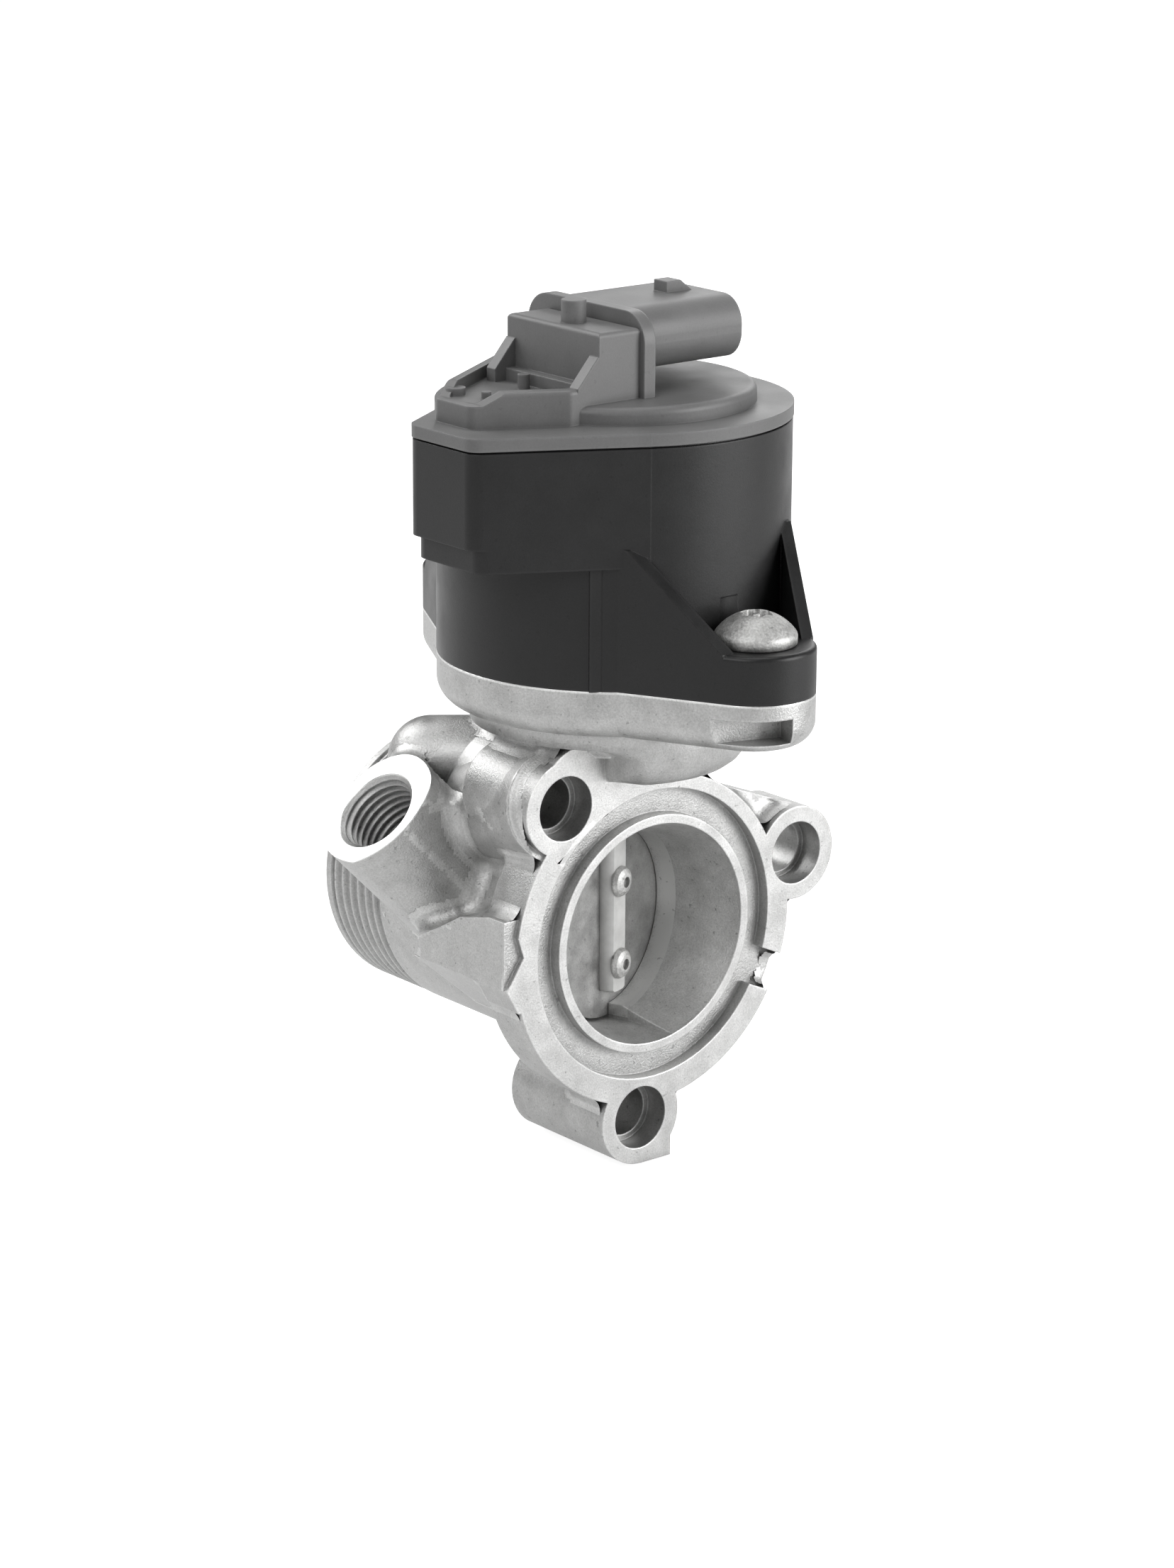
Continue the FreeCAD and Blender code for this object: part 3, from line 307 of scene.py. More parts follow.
def bore_wall(graph: Graph) -> Socket:
    """Sooty inside of the gas passage.

    Args:
        graph: the material's nodes.

    Returns:
        The share of the wall, 1 on it.
    """
    radius, soft, rear_end = 20.9, 0.2, 30.0
    inside = graph.below(graph.off_axis(0.0, 0.0), radius, soft)
    behind = graph.above(graph.y, FLANGE_Y + 0.2, FLANGE_Y + 0.6)
    return graph.product(inside, behind, graph.below(graph.y, rear_end))


def bolt_recess(graph: Graph) -> Socket:
    """Drilled walls of the three bolt holes, which their zone gives a smoother drilled finish and a
    darker tone that is painted shade inside the holes.

    Args:
        graph: the material's nodes.

    Returns:
        The share of the walls, 1 on them.
    """
    radius = 5.6
    shares = [graph.below(graph.off_axis(x, z), radius) for x, z in LUG_HOLES]
    most = graph.math("MAXIMUM", graph.math("MAXIMUM", shares[0], shares[1]), shares[2])
    return graph.product(most, graph.above(graph.y, FLANGE_Y + 0.1, FLANGE_Y + 0.2))


def seat_ring(graph: Graph) -> Socket:
    """Bright turned seat in front of the closed flap's right half.

    Args:
        graph: the material's nodes.

    Returns:
        The share of the seat, 1 on it.
    """
    radius, start, end = 17.6, -0.9, 3.4
    tilt = math.radians(FLAP_TILT)
    ahead = graph.math("SUBTRACT", graph.math("MULTIPLY", graph.x, math.sin(tilt)),
                       graph.math("MULTIPLY", graph.y, math.cos(tilt)))
    inside = graph.below(graph.off_axis(0.0, 0.0), radius)
    return graph.product(graph.below(ahead, end), graph.above(ahead, start, start + 0.1), inside)


def joint_edge(graph: Graph) -> Socket:
    """Share of the milled seat under the actuator."""
    return graph.above(graph.z, SEAT_Z, SEAT_Z + 0.15)


@dataclass(frozen=True)
class Finish:
    """One surface finish.

    Colours are linear and sizes are metres. Mottle is the depth of the cloudy
    colour, speckle that of the fine one. The corner shade is painted shade that
    darkens corners, and the edge highlight is a painted highlight that brightens
    outer edges.
    """

    name: str
    colour: Point
    metallic: float = 0.0
    roughness: float = 0.5
    rough_spread: float = 0.08
    grain: Grain = Grain.SAND
    grain_size: float = 0.4 * MM
    grain_depth: float = 0.02 * MM
    mottle: float = 0.06
    mottle_size: float = 6.0 * MM
    speckle: float = 0.0
    # painted shade that darkens corners, and how far it looks
    corner_shade: float = 0.25
    corner_shade_reach: float = 1.5 * MM
    # painted highlight that brightens outer edges
    edge_highlight: float = 0.0
    round_edge: float = 0.0
    coat: float = 0.0
    specular: float = 0.5
    zones: tuple[Zone, ...] = ()

    def build(self) -> bpy.types.Material:
        """Make the node material, laid out on Object coordinates.

        Returns:
            The material.
        """
        graph = Graph(self.name)
        shader = graph.node("ShaderNodeBsdfPrincipled", Metallic=self.metallic,
                            Coat_Weight=self.coat, Specular_IOR_Level=self.specular)
        graph.node("ShaderNodeOutputMaterial", Surface=shader.outputs["BSDF"])
        patches = graph.noise(self.mottle_size, detail=5.0, rough=0.62)
        fine = graph.noise(self.grain_size, detail=4.0, rough=0.6, grain=self.grain)
        tone = self._tone(graph, patches, fine)
        rough = graph.span(patches, *SPREAD, self.roughness - self.rough_spread,
                           self.roughness + self.rough_spread)
        depth = self.grain_depth
        for zone in self.zones:
            share = zone.mask(graph)
            tone = graph.product(tone, graph.span(share, 0.0, 1.0, 1.0, zone.tone))
            rough = graph.span(share, 0.0, 1.0, rough, zone.roughness)
            depth = graph.span(share, 0.0, 1.0, depth, zone.relief * self.grain_depth)
        graph.fill(shader.inputs["Base Color"], self._colour(graph, tone))
        graph.fill(shader.inputs["Roughness"], rough)
        graph.fill(shader.inputs["Normal"], self._normal(graph, fine, depth))
        return graph.material

    def _tone(self, graph: Graph, patches: Socket, fine: Socket) -> Socket:
        """Factor on the colour from clouds, speckle with pits, painted shade in corners and painted
        highlights on outer edges.

        Args:
            graph: the material's nodes.
            patches: the cloudy noise.
            fine: the noise of the grain.

        Returns:
            The factor, about 1.
        """
        tone = graph.span(patches, *CLOUDS, 1.0 - self.mottle, 1.0 + self.mottle)
        if self.speckle > 0.0:
            grains = graph.span(fine, *SPREAD, 1.0 - self.speckle, 1.0 + self.speckle)
            pits = graph.span(graph.noise(PIT_SIZE, detail=2.0), *PITS, 1.0,
                              1.0 - PIT_DEPTH * self.speckle)
            tone = graph.product(tone, grains, pits)
        # painted shade: the colour darkens where the surface is closed in, in corners and recesses
        if self.corner_shade > 0.0:
            corners = graph.span(graph.closeness(self.corner_shade_reach), *CORNERS, 1.0 - self.corner_shade, 1.0)
            tone = graph.product(tone, corners)
        # painted highlight: the colour brightens on outer edges
        if self.edge_highlight > 0.0:
            edges = graph.span(graph.closeness(EDGE_HIGHLIGHT_REACH, True), *EDGES, 1.0 + self.edge_highlight, 1.0)
            tone = graph.product(tone, edges)
        return tone

    def _colour(self, graph: Graph, tone: Socket) -> Socket:
        """Colour times tone, mixed from black and the colour at its full strength.

        Args:
            graph: the material's nodes.
            tone: the factor.

        Returns:
            The colour.
        """
        factor, dark, light, result = 0, 6, 7, 2     # sockets of a node that mixes colours
        full = min(HEADROOM, 1.0 / max(self.colour))
        mix = graph.nodes.new("ShaderNodeMix")
        mix.data_type = "RGBA"
        graph.fill(mix.inputs[factor], graph.math("DIVIDE", tone, full))
        graph.fill(mix.inputs[dark], (0.0, 0.0, 0.0, 1.0))
        graph.fill(mix.inputs[light], (*(part * full for part in self.colour), 1.0))
        return mix.outputs[result]

    def _normal(self, graph: Graph, fine: Socket, depth: Socket | float) -> Socket:
        """Relief of the grain, over rounded edges where the finish has them.

        Args:
            graph: the material's nodes.
            fine: the noise of the grain.
            depth: the depth of the relief, in metres.

        Returns:
            The normal.
        """
        bump = graph.node("ShaderNodeBump", Strength=1.0, Distance=depth, Height=fine)
        if self.round_edge > 0.0:
            edge = graph.node("ShaderNodeBevel", Radius=self.round_edge)
            edge.samples = SAMPLES
            graph.fill(bump.inputs["Normal"], edge.outputs["Normal"])
        return bump.outputs["Normal"]


# the corner settings below paint shade into corners, and the edge settings paint highlights onto
# outer edges
CAST = Finish("cast_aluminium", (0.52, 0.52, 0.515), metallic=0.88, roughness=0.41,
              rough_spread=0.10, grain_size=0.32 * MM, grain_depth=0.09 * MM, mottle=0.13,
              mottle_size=4.5 * MM, speckle=0.15, corner_shade=0.36, corner_shade_reach=2.5 * MM, edge_highlight=0.25,
              round_edge=0.35 * MM,
              zones=(Zone(bore_wall, 1.12, 0.50, 0.8), Zone(seat_ring, 1.6, 0.36, 0.2),
                     # bolt holes darkened 0.85: painted shade inside the holes
                     Zone(bolt_recess, 0.85, 0.40, 0.3), Zone(flange_face, 1.2, 0.36, 0.4),
                     # sensor face lifted 1.8: machined finish plus a painted highlight
                     Zone(sensor_face, 1.8, 0.30, 0.15), Zone(joint_edge, 1.4, 0.30, 0.2)))
STEEL = Finish("turned_steel", (0.66, 0.66, 0.65), metallic=1.0, roughness=0.40, rough_spread=0.06,
               grain=Grain.TURNED, grain_size=0.25 * MM, grain_depth=0.01 * MM, mottle=0.06,
               mottle_size=5.0 * MM, corner_shade=0.25)
SHAFT_STEEL = Finish("blasted_steel", (0.62, 0.62, 0.61), metallic=0.55, roughness=0.58,
                     rough_spread=0.06, grain=Grain.TURNED, grain_size=0.25 * MM,
                     grain_depth=0.01 * MM, mottle=0.10, mottle_size=3.0 * MM, corner_shade=0.15)
FLAP_STEEL = Finish("sooty_steel", (0.38, 0.38, 0.375), metallic=0.9, roughness=0.46,
                    grain_size=0.3 * MM, grain_depth=0.02 * MM, mottle=0.20, mottle_size=3.5 * MM,
                    speckle=0.12, corner_shade=0.3)
ZINC = Finish("zinc_plate", (0.56, 0.56, 0.55), metallic=0.85, roughness=0.52, rough_spread=0.08,
              grain_size=0.4 * MM, grain_depth=0.08 * MM, mottle=0.16, mottle_size=1.6 * MM,
              speckle=0.16, corner_shade=0.4, edge_highlight=0.15, round_edge=0.2 * MM)
BRONZE = Finish("sintered_bronze", (0.55, 0.38, 0.18), metallic=1.0, roughness=0.42,
                grain_size=0.2 * MM, grain_depth=0.01 * MM, mottle=0.10, mottle_size=3.0 * MM,
                speckle=0.08)
RUBBER = Finish("seal_rubber", (0.02, 0.02, 0.02), roughness=0.62, rough_spread=0.06,
                grain_size=0.3 * MM, grain_depth=0.01 * MM, mottle=0.15, mottle_size=4.0 * MM)
BLACK = Finish("black_moulding", (0.011, 0.011, 0.0113), roughness=0.38, rough_spread=0.06,
               grain_size=0.30 * MM, grain_depth=0.016 * MM, mottle=0.25, mottle_size=9.0 * MM,
               speckle=0.15, corner_shade=0.3, edge_highlight=1.2, round_edge=0.3 * MM, specular=0.4)
GREY = Finish("grey_moulding", (0.145, 0.145, 0.145), roughness=0.46, rough_spread=0.06,
              grain_size=0.35 * MM, grain_depth=0.016 * MM, mottle=0.08, mottle_size=9.0 * MM,
              speckle=0.05, corner_shade=0.35, edge_highlight=0.30, round_edge=0.3 * MM)
GEARS = Finish("gear_moulding", (0.62, 0.60, 0.54), roughness=0.42, rough_spread=0.05,
               grain_size=0.3 * MM, grain_depth=0.006 * MM, mottle=0.05, mottle_size=5.0 * MM)
MAGNET = Finish("sintered_magnet", (0.05, 0.05, 0.052), metallic=0.3, roughness=0.5,
                grain_size=0.2 * MM, grain_depth=0.01 * MM, mottle=0.12, mottle_size=2.0 * MM)
TIN = Finish("tinned_pins", (0.70, 0.69, 0.67), metallic=1.0, roughness=0.28, rough_spread=0.05,
             grain=Grain.BRUSHED, grain_size=0.2 * MM, grain_depth=0.005 * MM, mottle=0.05,
             mottle_size=2.0 * MM)
BOARD = Finish("board_lacquer", (0.02, 0.12, 0.05), roughness=0.30, rough_spread=0.04,
               grain_size=0.8 * MM, grain_depth=0.004 * MM, mottle=0.15, mottle_size=3.0 * MM,
               coat=0.4)
CHIP = Finish("chip_moulding", (0.015, 0.015, 0.015), roughness=0.55, rough_spread=0.05,
              grain_size=0.15 * MM, grain_depth=0.006 * MM, mottle=0.10, mottle_size=1.0 * MM)

NODE_FINISH: dict[str, Finish] = {
    "valve_housing": CAST,
    "flap_shaft": SHAFT_STEEL,
    "flap_plate": FLAP_STEEL,
    "flap_screws": ZINC,
    "lower_bush": BRONZE,
    "upper_bush": BRONZE,
    "shaft_seal": RUBBER,
    "actuator_housing": BLACK,
    "screw_sleeves": STEEL,
    "actuator_screws": ZINC,
    "base_seal": RUBBER,
    "cover_seal": RUBBER,
    "actuator_cover": GREY,
    "connector_pins": TIN,
    "output_gear": GEARS,
    "intermediate_gear": GEARS,
    "gear_pin": STEEL,
    "gear_plate": STEEL,
    "return_spring": STEEL,
    "sensor_magnet": MAGNET,
    "motor_can": ZINC,
    "motor_end_cap": CHIP,
    "motor_bush": BRONZE,
    "motor_magnets": MAGNET,
    "motor_armature": STEEL,
    "motor_shaft": STEEL,
    "motor_pinion": BRONZE,
    "circuit_board": BOARD,
    "board_parts": CHIP,
    "motor_leads": BRONZE,
}


@dataclass(frozen=True)
class Lamp:
    """Square soft lamp, its place and side in metres and its power in watts."""

    name: str
    place: Point
    side: float
    power: float


@dataclass(frozen=True)
class Studio:
    """Floor, lamps, world and camera, in metres and degrees.

    The floor glows for the camera, and by mirror_share of that for reflections.
    """

    eye: Point = (-0.4589, -0.5543, 0.2340)
    azimuth: float = 39.292
    down: float = 16.305
    roll: float = 0.332
    lens: float = 102.19
    sensor_width: float = 36.0
    floor_drop: float = 0.0004
    floor_half: float = 6.0
    floor_tone: float = 0.55
    floor_glow: float = 0.85
    mirror_share: float = 0.4
    air_glow: float = 0.22
    aim: Point = (0.0, 0.0, 0.03)
    lamps: tuple[Lamp, ...] = (
        Lamp("key", (-0.75, -0.25, 0.70), 0.7, 4.2),
        Lamp("back", (-0.35, 0.85, 0.75), 0.7, 7.0),
        Lamp("window", (0.62, -0.90, 0.30), 0.8, 11.0),
        Lamp("top", (0.10, 0.10, 1.10), 0.6, 3.0),
        Lamp("rim", (0.75, 0.55, 0.45), 0.5, 2.0),
    )

    def build(self, low: Vector) -> None:
        """Make the stage.

        Args:
            low: lowest corner of the object, in metres.
        """
        self._floor(low.z - self.floor_drop)
        self._world()
        for lamp in self.lamps:
            self._lamp(lamp)
        self._camera()

    def _floor(self, height: float) -> None:
        """Wide pale floor, one square face.

        Args:
            height: its level, in metres.
        """
        half = self.floor_half
        corners = [(-half, -half, height), (half, -half, height), (half, half, height),
                   (-half, half, height)]
        mesh = bpy.data.meshes.new("floor")
        mesh.from_pydata(corners, [], [(0, 1, 2, 3)])
        floor = bpy.data.objects.new("floor", mesh)
        bpy.context.scene.collection.objects.link(floor)
        mesh.materials.append(self._floor_material())
        floor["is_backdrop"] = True

    def _floor_material(self) -> bpy.types.Material:
        """Matt grey with the glow added.

        Returns:
            The material.
        """
        graph = Graph("pale_floor")
        tone = self.floor_tone
        matt = graph.node("ShaderNodeBsdfPrincipled", Base_Color=(tone, tone, tone, 1.0),
                          Roughness=0.9, Specular_IOR_Level=0.1)
        path = graph.node("ShaderNodeLightPath").outputs
        mirrored = graph.math("MULTIPLY", path["Is Glossy Ray"], self.mirror_share)
        seen = graph.math("MAXIMUM", path["Is Camera Ray"], mirrored)
        glow = graph.node("ShaderNodeEmission", Color=(1.0, 1.0, 1.0, 1.0),
                          Strength=graph.math("MULTIPLY", seen, self.floor_glow))
        both = graph.nodes.new("ShaderNodeAddShader")
        graph.fill(both.inputs[0], matt.outputs["BSDF"])
        graph.fill(both.inputs[1], glow.outputs["Emission"])
        graph.node("ShaderNodeOutputMaterial", Surface=both.outputs["Shader"])
        return graph.material

    def _world(self) -> None:
        """Even pale surroundings, white where the camera sees them."""
        world = bpy.data.worlds.new("studio_air")
        bpy.context.scene.world = world
        world.use_nodes = True
        nodes, links = world.node_tree.nodes, world.node_tree.links
        back = nodes["Background"]
        back.inputs["Color"].default_value = (1.0, 1.0, 1.0, 1.0)
        path = nodes.new("ShaderNodeLightPath")
        level = nodes.new("ShaderNodeMapRange")
        level.inputs["To Min"].default_value = self.air_glow
        level.inputs["To Max"].default_value = 1.0
        links.new(path.outputs["Is Camera Ray"], level.inputs["Value"])
        links.new(level.outputs["Result"], back.inputs["Strength"])

    def _lamp(self, lamp: Lamp) -> None:
        """Add a lamp, turned to the valve's middle.

        Args:
            lamp: its values.
        """
        light = bpy.data.lights.new(lamp.name, "AREA")
        light.shape = "SQUARE"
        light.size = lamp.side
        light.energy = lamp.power
        made = bpy.data.objects.new(lamp.name, light)
        bpy.context.scene.collection.objects.link(made)
        made.location = lamp.place
        made.rotation_mode = "QUATERNION"
        made.rotation_quaternion = (Vector(self.aim) - made.location).to_track_quat("-Z", "Y")

    def _camera(self) -> None:
        """Camera at the photograph's place, without shift."""
        azimuth, down, roll = (math.radians(a) for a in (self.azimuth, self.down, self.roll))
        ahead = Vector((math.sin(azimuth) * math.cos(down), math.cos(azimuth) * math.cos(down),
                        -math.sin(down)))
        right = ahead.cross(Vector((0.0, 0.0, 1.0))).normalized()
        up = right.cross(ahead)
        side = right * math.cos(roll) + up * math.sin(roll)
        top = up * math.cos(roll) - right * math.sin(roll)
        data = bpy.data.cameras.new("photo_camera")
        data.lens = self.lens
        data.sensor_width = self.sensor_width
        data.clip_start, data.clip_end = 0.01, 50.0
        camera = bpy.data.objects.new("photo_camera", data)
        bpy.context.scene.collection.objects.link(camera)
        turn = Matrix((side, top, -ahead)).transposed()
        camera.matrix_world = Matrix.Translation(Vector(self.eye)) @ turn.to_4x4()
        bpy.context.scene.camera = camera


@dataclass
class Dresser:
    """Gives every carried-over solid its finish."""

    made: dict[str, bpy.types.Material] = field(default_factory=dict)

    def material(self, finish: Finish) -> bpy.types.Material:
        """Material of a finish, built once.

        Args:
            finish: the finish.

        Returns:
            Its material.
        """
        if finish.name not in self.made:
            self.made[finish.name] = finish.build()
        return self.made[finish.name]

    def dress(self, nodes: dict[str, bpy.types.Object]) -> None:
        """Put a finish on each solid.

        Args:
            nodes: the frame's solids by name.
        """
        for name, node in nodes.items():
            node.data.materials.clear()
            node.data.materials.append(self.material(NODE_FINISH[name]))
            LOG.info("%s: %s", name, NODE_FINISH[name].name)


def node_arrays(node: bpy.types.Object) -> tuple[np.ndarray, np.ndarray]:
    """Corner points and triangles of a carried-over solid.

    Args:
        node: the solid's object.

    Returns:
        Points, n by 3, in metres, and triangles, m by 3.
    """
    mesh = node.data
    points = np.empty(len(mesh.vertices) * 3, dtype=np.float32)
    mesh.vertices.foreach_get("co", points)
    mesh.calc_loop_triangles()
    corners = np.empty(len(mesh.loop_triangles) * 3, dtype=np.int32)
    mesh.loop_triangles.foreach_get("vertices", corners)
    return points.reshape(-1, 3), corners.reshape(-1, 3)


def add_piece(name: str, points: np.ndarray, faces: np.ndarray, finish: bpy.types.Material,
              body: Body) -> bpy.types.Object:
    """Make a smooth-shaded piece from points and faces.

    Args:
        name: piece name.
        points: n by 3, metres.
        faces: m by 3 or m by 4 corner numbers.
        finish: its material.
        body: the body it rides on.

    Returns:
        The new object.
    """
    mesh = bpy.data.meshes.new(name)
    size = faces.shape[1]
    mesh.vertices.add(len(points))
    mesh.vertices.foreach_set("co", np.asarray(points, dtype=np.float32).ravel())
    mesh.loops.add(len(faces) * size)
    mesh.loops.foreach_set("vertex_index", np.asarray(faces, dtype=np.int32).ravel())
    mesh.polygons.add(len(faces))
    mesh.polygons.foreach_set("loop_start", np.arange(len(faces), dtype=np.int32) * size)
    mesh.update(calc_edges=True)
    mesh.validate()
    mesh.shade_smooth()
    mesh.materials.append(finish)
    piece = bpy.data.objects.new(name, mesh)
    bpy.context.scene.collection.objects.link(piece)
    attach(piece, body.value)
    LOG.info("%s: %d faces", name, len(faces))
    return piece


@dataclass(frozen=True)
class FilletSkin:
    """Cast fillets in the inner corners of a solid, in metres.

    The solid's distance field is grown by the fillet radius and shrunk back by
    the same, which is the path of a ball rolled round the outside. What then
    stands clear of the solid is the fillets, and only that is kept.
    """

    voxel: float = 0.5 * MM
    radius: float = 2.2 * MM
    least: float = 0.05 * MM
    spare_voxels: float = 2.5

    def _field(self, points: np.ndarray, faces: np.ndarray) -> openvdb.FloatGrid:
        """Distance field of a surface, wide enough for the radius.

        Args:
            points: n by 3, metres.
            faces: m by 3 or m by 4 corner numbers.

        Returns:
            The field, in metres, positive outside.
        """
        band = self.radius / self.voxel + self.spare_voxels
        lattice = openvdb.createLinearTransform(voxelSize=self.voxel)
        shape = {"triangles" if faces.shape[1] == 3 else "quads": faces.astype(np.uint32)}
        return openvdb.FloatGrid.createLevelSetFromPolygons(
            points.astype(np.float64), transform=lattice, halfWidth=band, **shape)

    def _sample(self, grid: openvdb.FloatGrid, points: np.ndarray) -> np.ndarray:
        """Distance at points, by weighing the eight voxels round each.

        Args:
            grid: the distance field.
            points: n by 3, metres.

        Returns:
            The distance at each point, in metres.
        """
        rim = 2
        low, high = (np.array(corner) for corner in grid.evalActiveVoxelBoundingBox())
        low -= rim
        cube = np.zeros(tuple(high - low + 2 * rim), dtype=np.float32)
        grid.copyToArray(cube, ijk=tuple(int(v) for v in low))
        place = points / self.voxel - low
        cell = np.clip(np.floor(place).astype(int), 0, np.array(cube.shape) - 2)
        part = np.clip(place - cell, 0.0, 1.0)
        total = np.zeros(len(points))
        for corner in range(8):
            step = np.array([corner & 1, corner >> 1 & 1, corner >> 2 & 1])
            weight = np.prod(np.where(step, part, 1.0 - part), axis=1)
            total += weight * cube[tuple((cell + step).T)]
        return total

    def surface(self, node: bpy.types.Object,
                keep: Callable[[np.ndarray], np.ndarray]) -> tuple[np.ndarray, np.ndarray]:
        """Fillet patches of a solid.

        Args:
            node: the solid's object.
            keep: test that takes points and gives True where fillets may be.

        Returns:
            Points and four-cornered faces.
        """
        solid = self._field(*node_arrays(node))
        grown, quads = solid.convertToQuads(isovalue=self.radius)
        ball = self._field(np.asarray(grown), np.asarray(quads))
        skin, quads = ball.convertToQuads(isovalue=-self.radius)
        skin, quads = np.asarray(skin, dtype=np.float64), np.asarray(quads, dtype=np.int64)
        allowed = keep(skin)
        good = (self._sample(solid, skin) > self.least) & allowed
        faces = quads[good[quads].any(axis=1) & allowed[quads].all(axis=1)]
        used, renumbered = np.unique(faces, return_inverse=True)
        return skin[used], renumbered.reshape(-1, 4)


@dataclass(frozen=True)
class Casting:
    """Cast body of the valve with its fillets, in millimetres and degrees.

    The solid has a thin sliver in front of the gasket groove, beside the upper
    left lug. It is cut away, and a flat strip closes the mounting face there.
    """

    finish: Finish = CAST
    merge: float = 0.0002
    slack: float = 0.01
    facing_back: float = 0.9
    sliver_top: float = 29.0
    sliver_core: float = 18.0
    strip_radius: float = 25.2
    strip_width: float = 1.1
    strip_depth: float = 0.001
    strip_start: float = 121.0
    strip_steps: int = 21
    kept: str = "kept_normal"

    def _proud(self, face: bmesh.types.BMFace) -> bool:
        """True for the sliver's faces, which lie on or in front of the mounting face.

        Args:
            face: a face of the casting.

        Returns:
            Whether it goes.
        """
        middle = face.calc_center_median()
        if middle.z > self.sliver_top * MM:
            return False
        if math.hypot(middle.x, middle.z) < self.sliver_core * MM:
            return False
        limit = (FLANGE_Y - self.slack) * MM
        flush = middle.y < limit + 2.0 * self.slack * MM
        return middle.y < limit or (flush and face.normal.y > self.facing_back)

    def _close(self, skin: bmesh.types.BMesh) -> None:
        """Add the flat strip, a run of four-cornered faces between two arcs.

        Args:
            skin: the casting's faces, with the kept normals.
        """
        turns = [math.radians(self.strip_start + step) for step in range(self.strip_steps + 1)]
        level = (FLANGE_Y + self.strip_depth) * MM
        inner, outer = ([skin.verts.new((r * math.cos(a) * MM, level, r * math.sin(a) * MM))
                         for a in turns]
                        for r in (self.strip_radius, self.strip_radius + self.strip_width))
        layer = skin.loops.layers.float_vector[self.kept]
        for step in range(self.strip_steps):
            face = skin.faces.new((inner[step], outer[step], outer[step + 1], inner[step + 1]))
            for corner in face.loops:
                corner[layer] = (0.0, -1.0, 0.0)

    def _body(self, node: bpy.types.Object) -> bpy.types.Mesh:
        """Copy of the solid's skin with the sliver cut away and its normals kept.

        Args:
            node: the casting's solid.

        Returns:
            The mesh.
        """
        mesh = node.data.copy()
        normals = np.empty(len(mesh.loops) * 3, dtype=np.float32)
        mesh.corner_normals.foreach_get("vector", normals)
        mesh.attributes.new(self.kept, "FLOAT_VECTOR", "CORNER").data.foreach_set("vector", normals)
        skin = bmesh.new()
        skin.from_mesh(mesh)
        bmesh.ops.remove_doubles(skin, verts=skin.verts, dist=self.merge * MM)
        gone = [face for face in skin.faces if self._proud(face)]
        LOG.info("sliver faces left out: %d", len(gone))
        bmesh.ops.delete(skin, geom=gone, context="FACES")
        self._close(skin)
        skin.to_mesh(mesh)
        skin.free()
        mesh.shade_smooth()
        normals = np.empty(len(mesh.loops) * 3, dtype=np.float32)
        mesh.attributes[self.kept].data.foreach_get("vector", normals)
        mesh.attributes.remove(mesh.attributes[self.kept])
        mesh.normals_split_custom_set(normals.reshape(-1, 3))
        return mesh

    def _outside(self, points: np.ndarray) -> np.ndarray:
        """Where the casting has as-cast outside corners, away from all machined places.

        Args:
            points: n by 3, metres.

        Returns:
            True or False for each point.
        """
        x, y, z = (points / MM).T
        across = np.hypot(x, z)
        fine = (y > FLANGE_Y + 0.9) & (z < SEAT_Z - 0.1)             # flange face, actuator's seat
        fine &= (across > 19.6) & ((across > 27.0) | (y > -3.0))     # gas bore, gasket groove
        fine &= ~((y > 33.6) & (z < 30.0))                           # ribs of the spigot
        fine &= ~((y < -40.0) & (z > 39.5))                          # recess in the front edge
        fine &= np.hypot(x, np.abs(y) - SCREW_Y) > 4.5               # screw holes
        for hole_x, hole_z in LUG_HOLES:
            fine &= np.hypot(x - hole_x, z - hole_z) > 6.5
        east, up = x - PORT[0], z - PORT[2]
        along = (east - up) / math.sqrt(2.0)
        off = np.hypot((east + up) / math.sqrt(2.0), y - PORT[1])
        return fine & ~((off < 8.2) & (along < 34.0))                # sensor port

    def build(self, node: bpy.types.Object, dresser: Dresser) -> None:
        """Add the body in place of the solid's skin, and the fillets.

        Args:
            node: the casting's solid.
            dresser: source of the material.
        """
        body = bpy.data.objects.new("casting_body", self._body(node))
        bpy.context.scene.collection.objects.link(body)
        body.data.materials.clear()
        body.data.materials.append(dresser.material(self.finish))
        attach(body, Body.HOUSING.value)
        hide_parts("valve_housing")
        points, faces = FilletSkin().surface(node, self._outside)
        add_piece("casting_fillets", points, faces, dresser.material(self.finish),
                  Body.HOUSING)


def turned_skin(radii: np.ndarray, heights: np.ndarray) -> tuple[np.ndarray, np.ndarray]:
    """Closed skin of rings round the Z axis, with a point at each end.

    A point of ring i and direction j lies at radii[i, j] from the axis and at
    heights[i, j]. The first and the last ring shrink to the axis.

    Args:
        radii: rings by directions, metres.
        heights: the same, metres.

    Returns:
        Points and triangles that face outwards where rings run downwards.
    """
    rings, steps = radii.shape
    angle = np.linspace(0.0, 2.0 * np.pi, steps, endpoint=False)
    points = np.stack([radii * np.cos(angle), radii * np.sin(angle), heights], axis=-1)
    ends = np.array([[0.0, 0.0, heights[0].mean()], [0.0, 0.0, heights[-1].mean()]])
    index = np.arange(rings * steps).reshape(rings, steps)
    beside = np.roll(index, -1, axis=1)
    upper, lower = index[:-1], index[1:]
    right, below = beside[:-1], beside[1:]
    top, bottom = rings * steps, rings * steps + 1
    faces = [np.stack([upper, lower, right], axis=-1).reshape(-1, 3),
             np.stack([right, lower, below], axis=-1).reshape(-1, 3),
             np.stack([np.full(steps, top), index[0], beside[0]], axis=-1),
             np.stack([np.full(steps, bottom), beside[-1], index[-1]], axis=-1)]
    return np.concatenate([points.reshape(-1, 3), ends]), np.concatenate(faces)


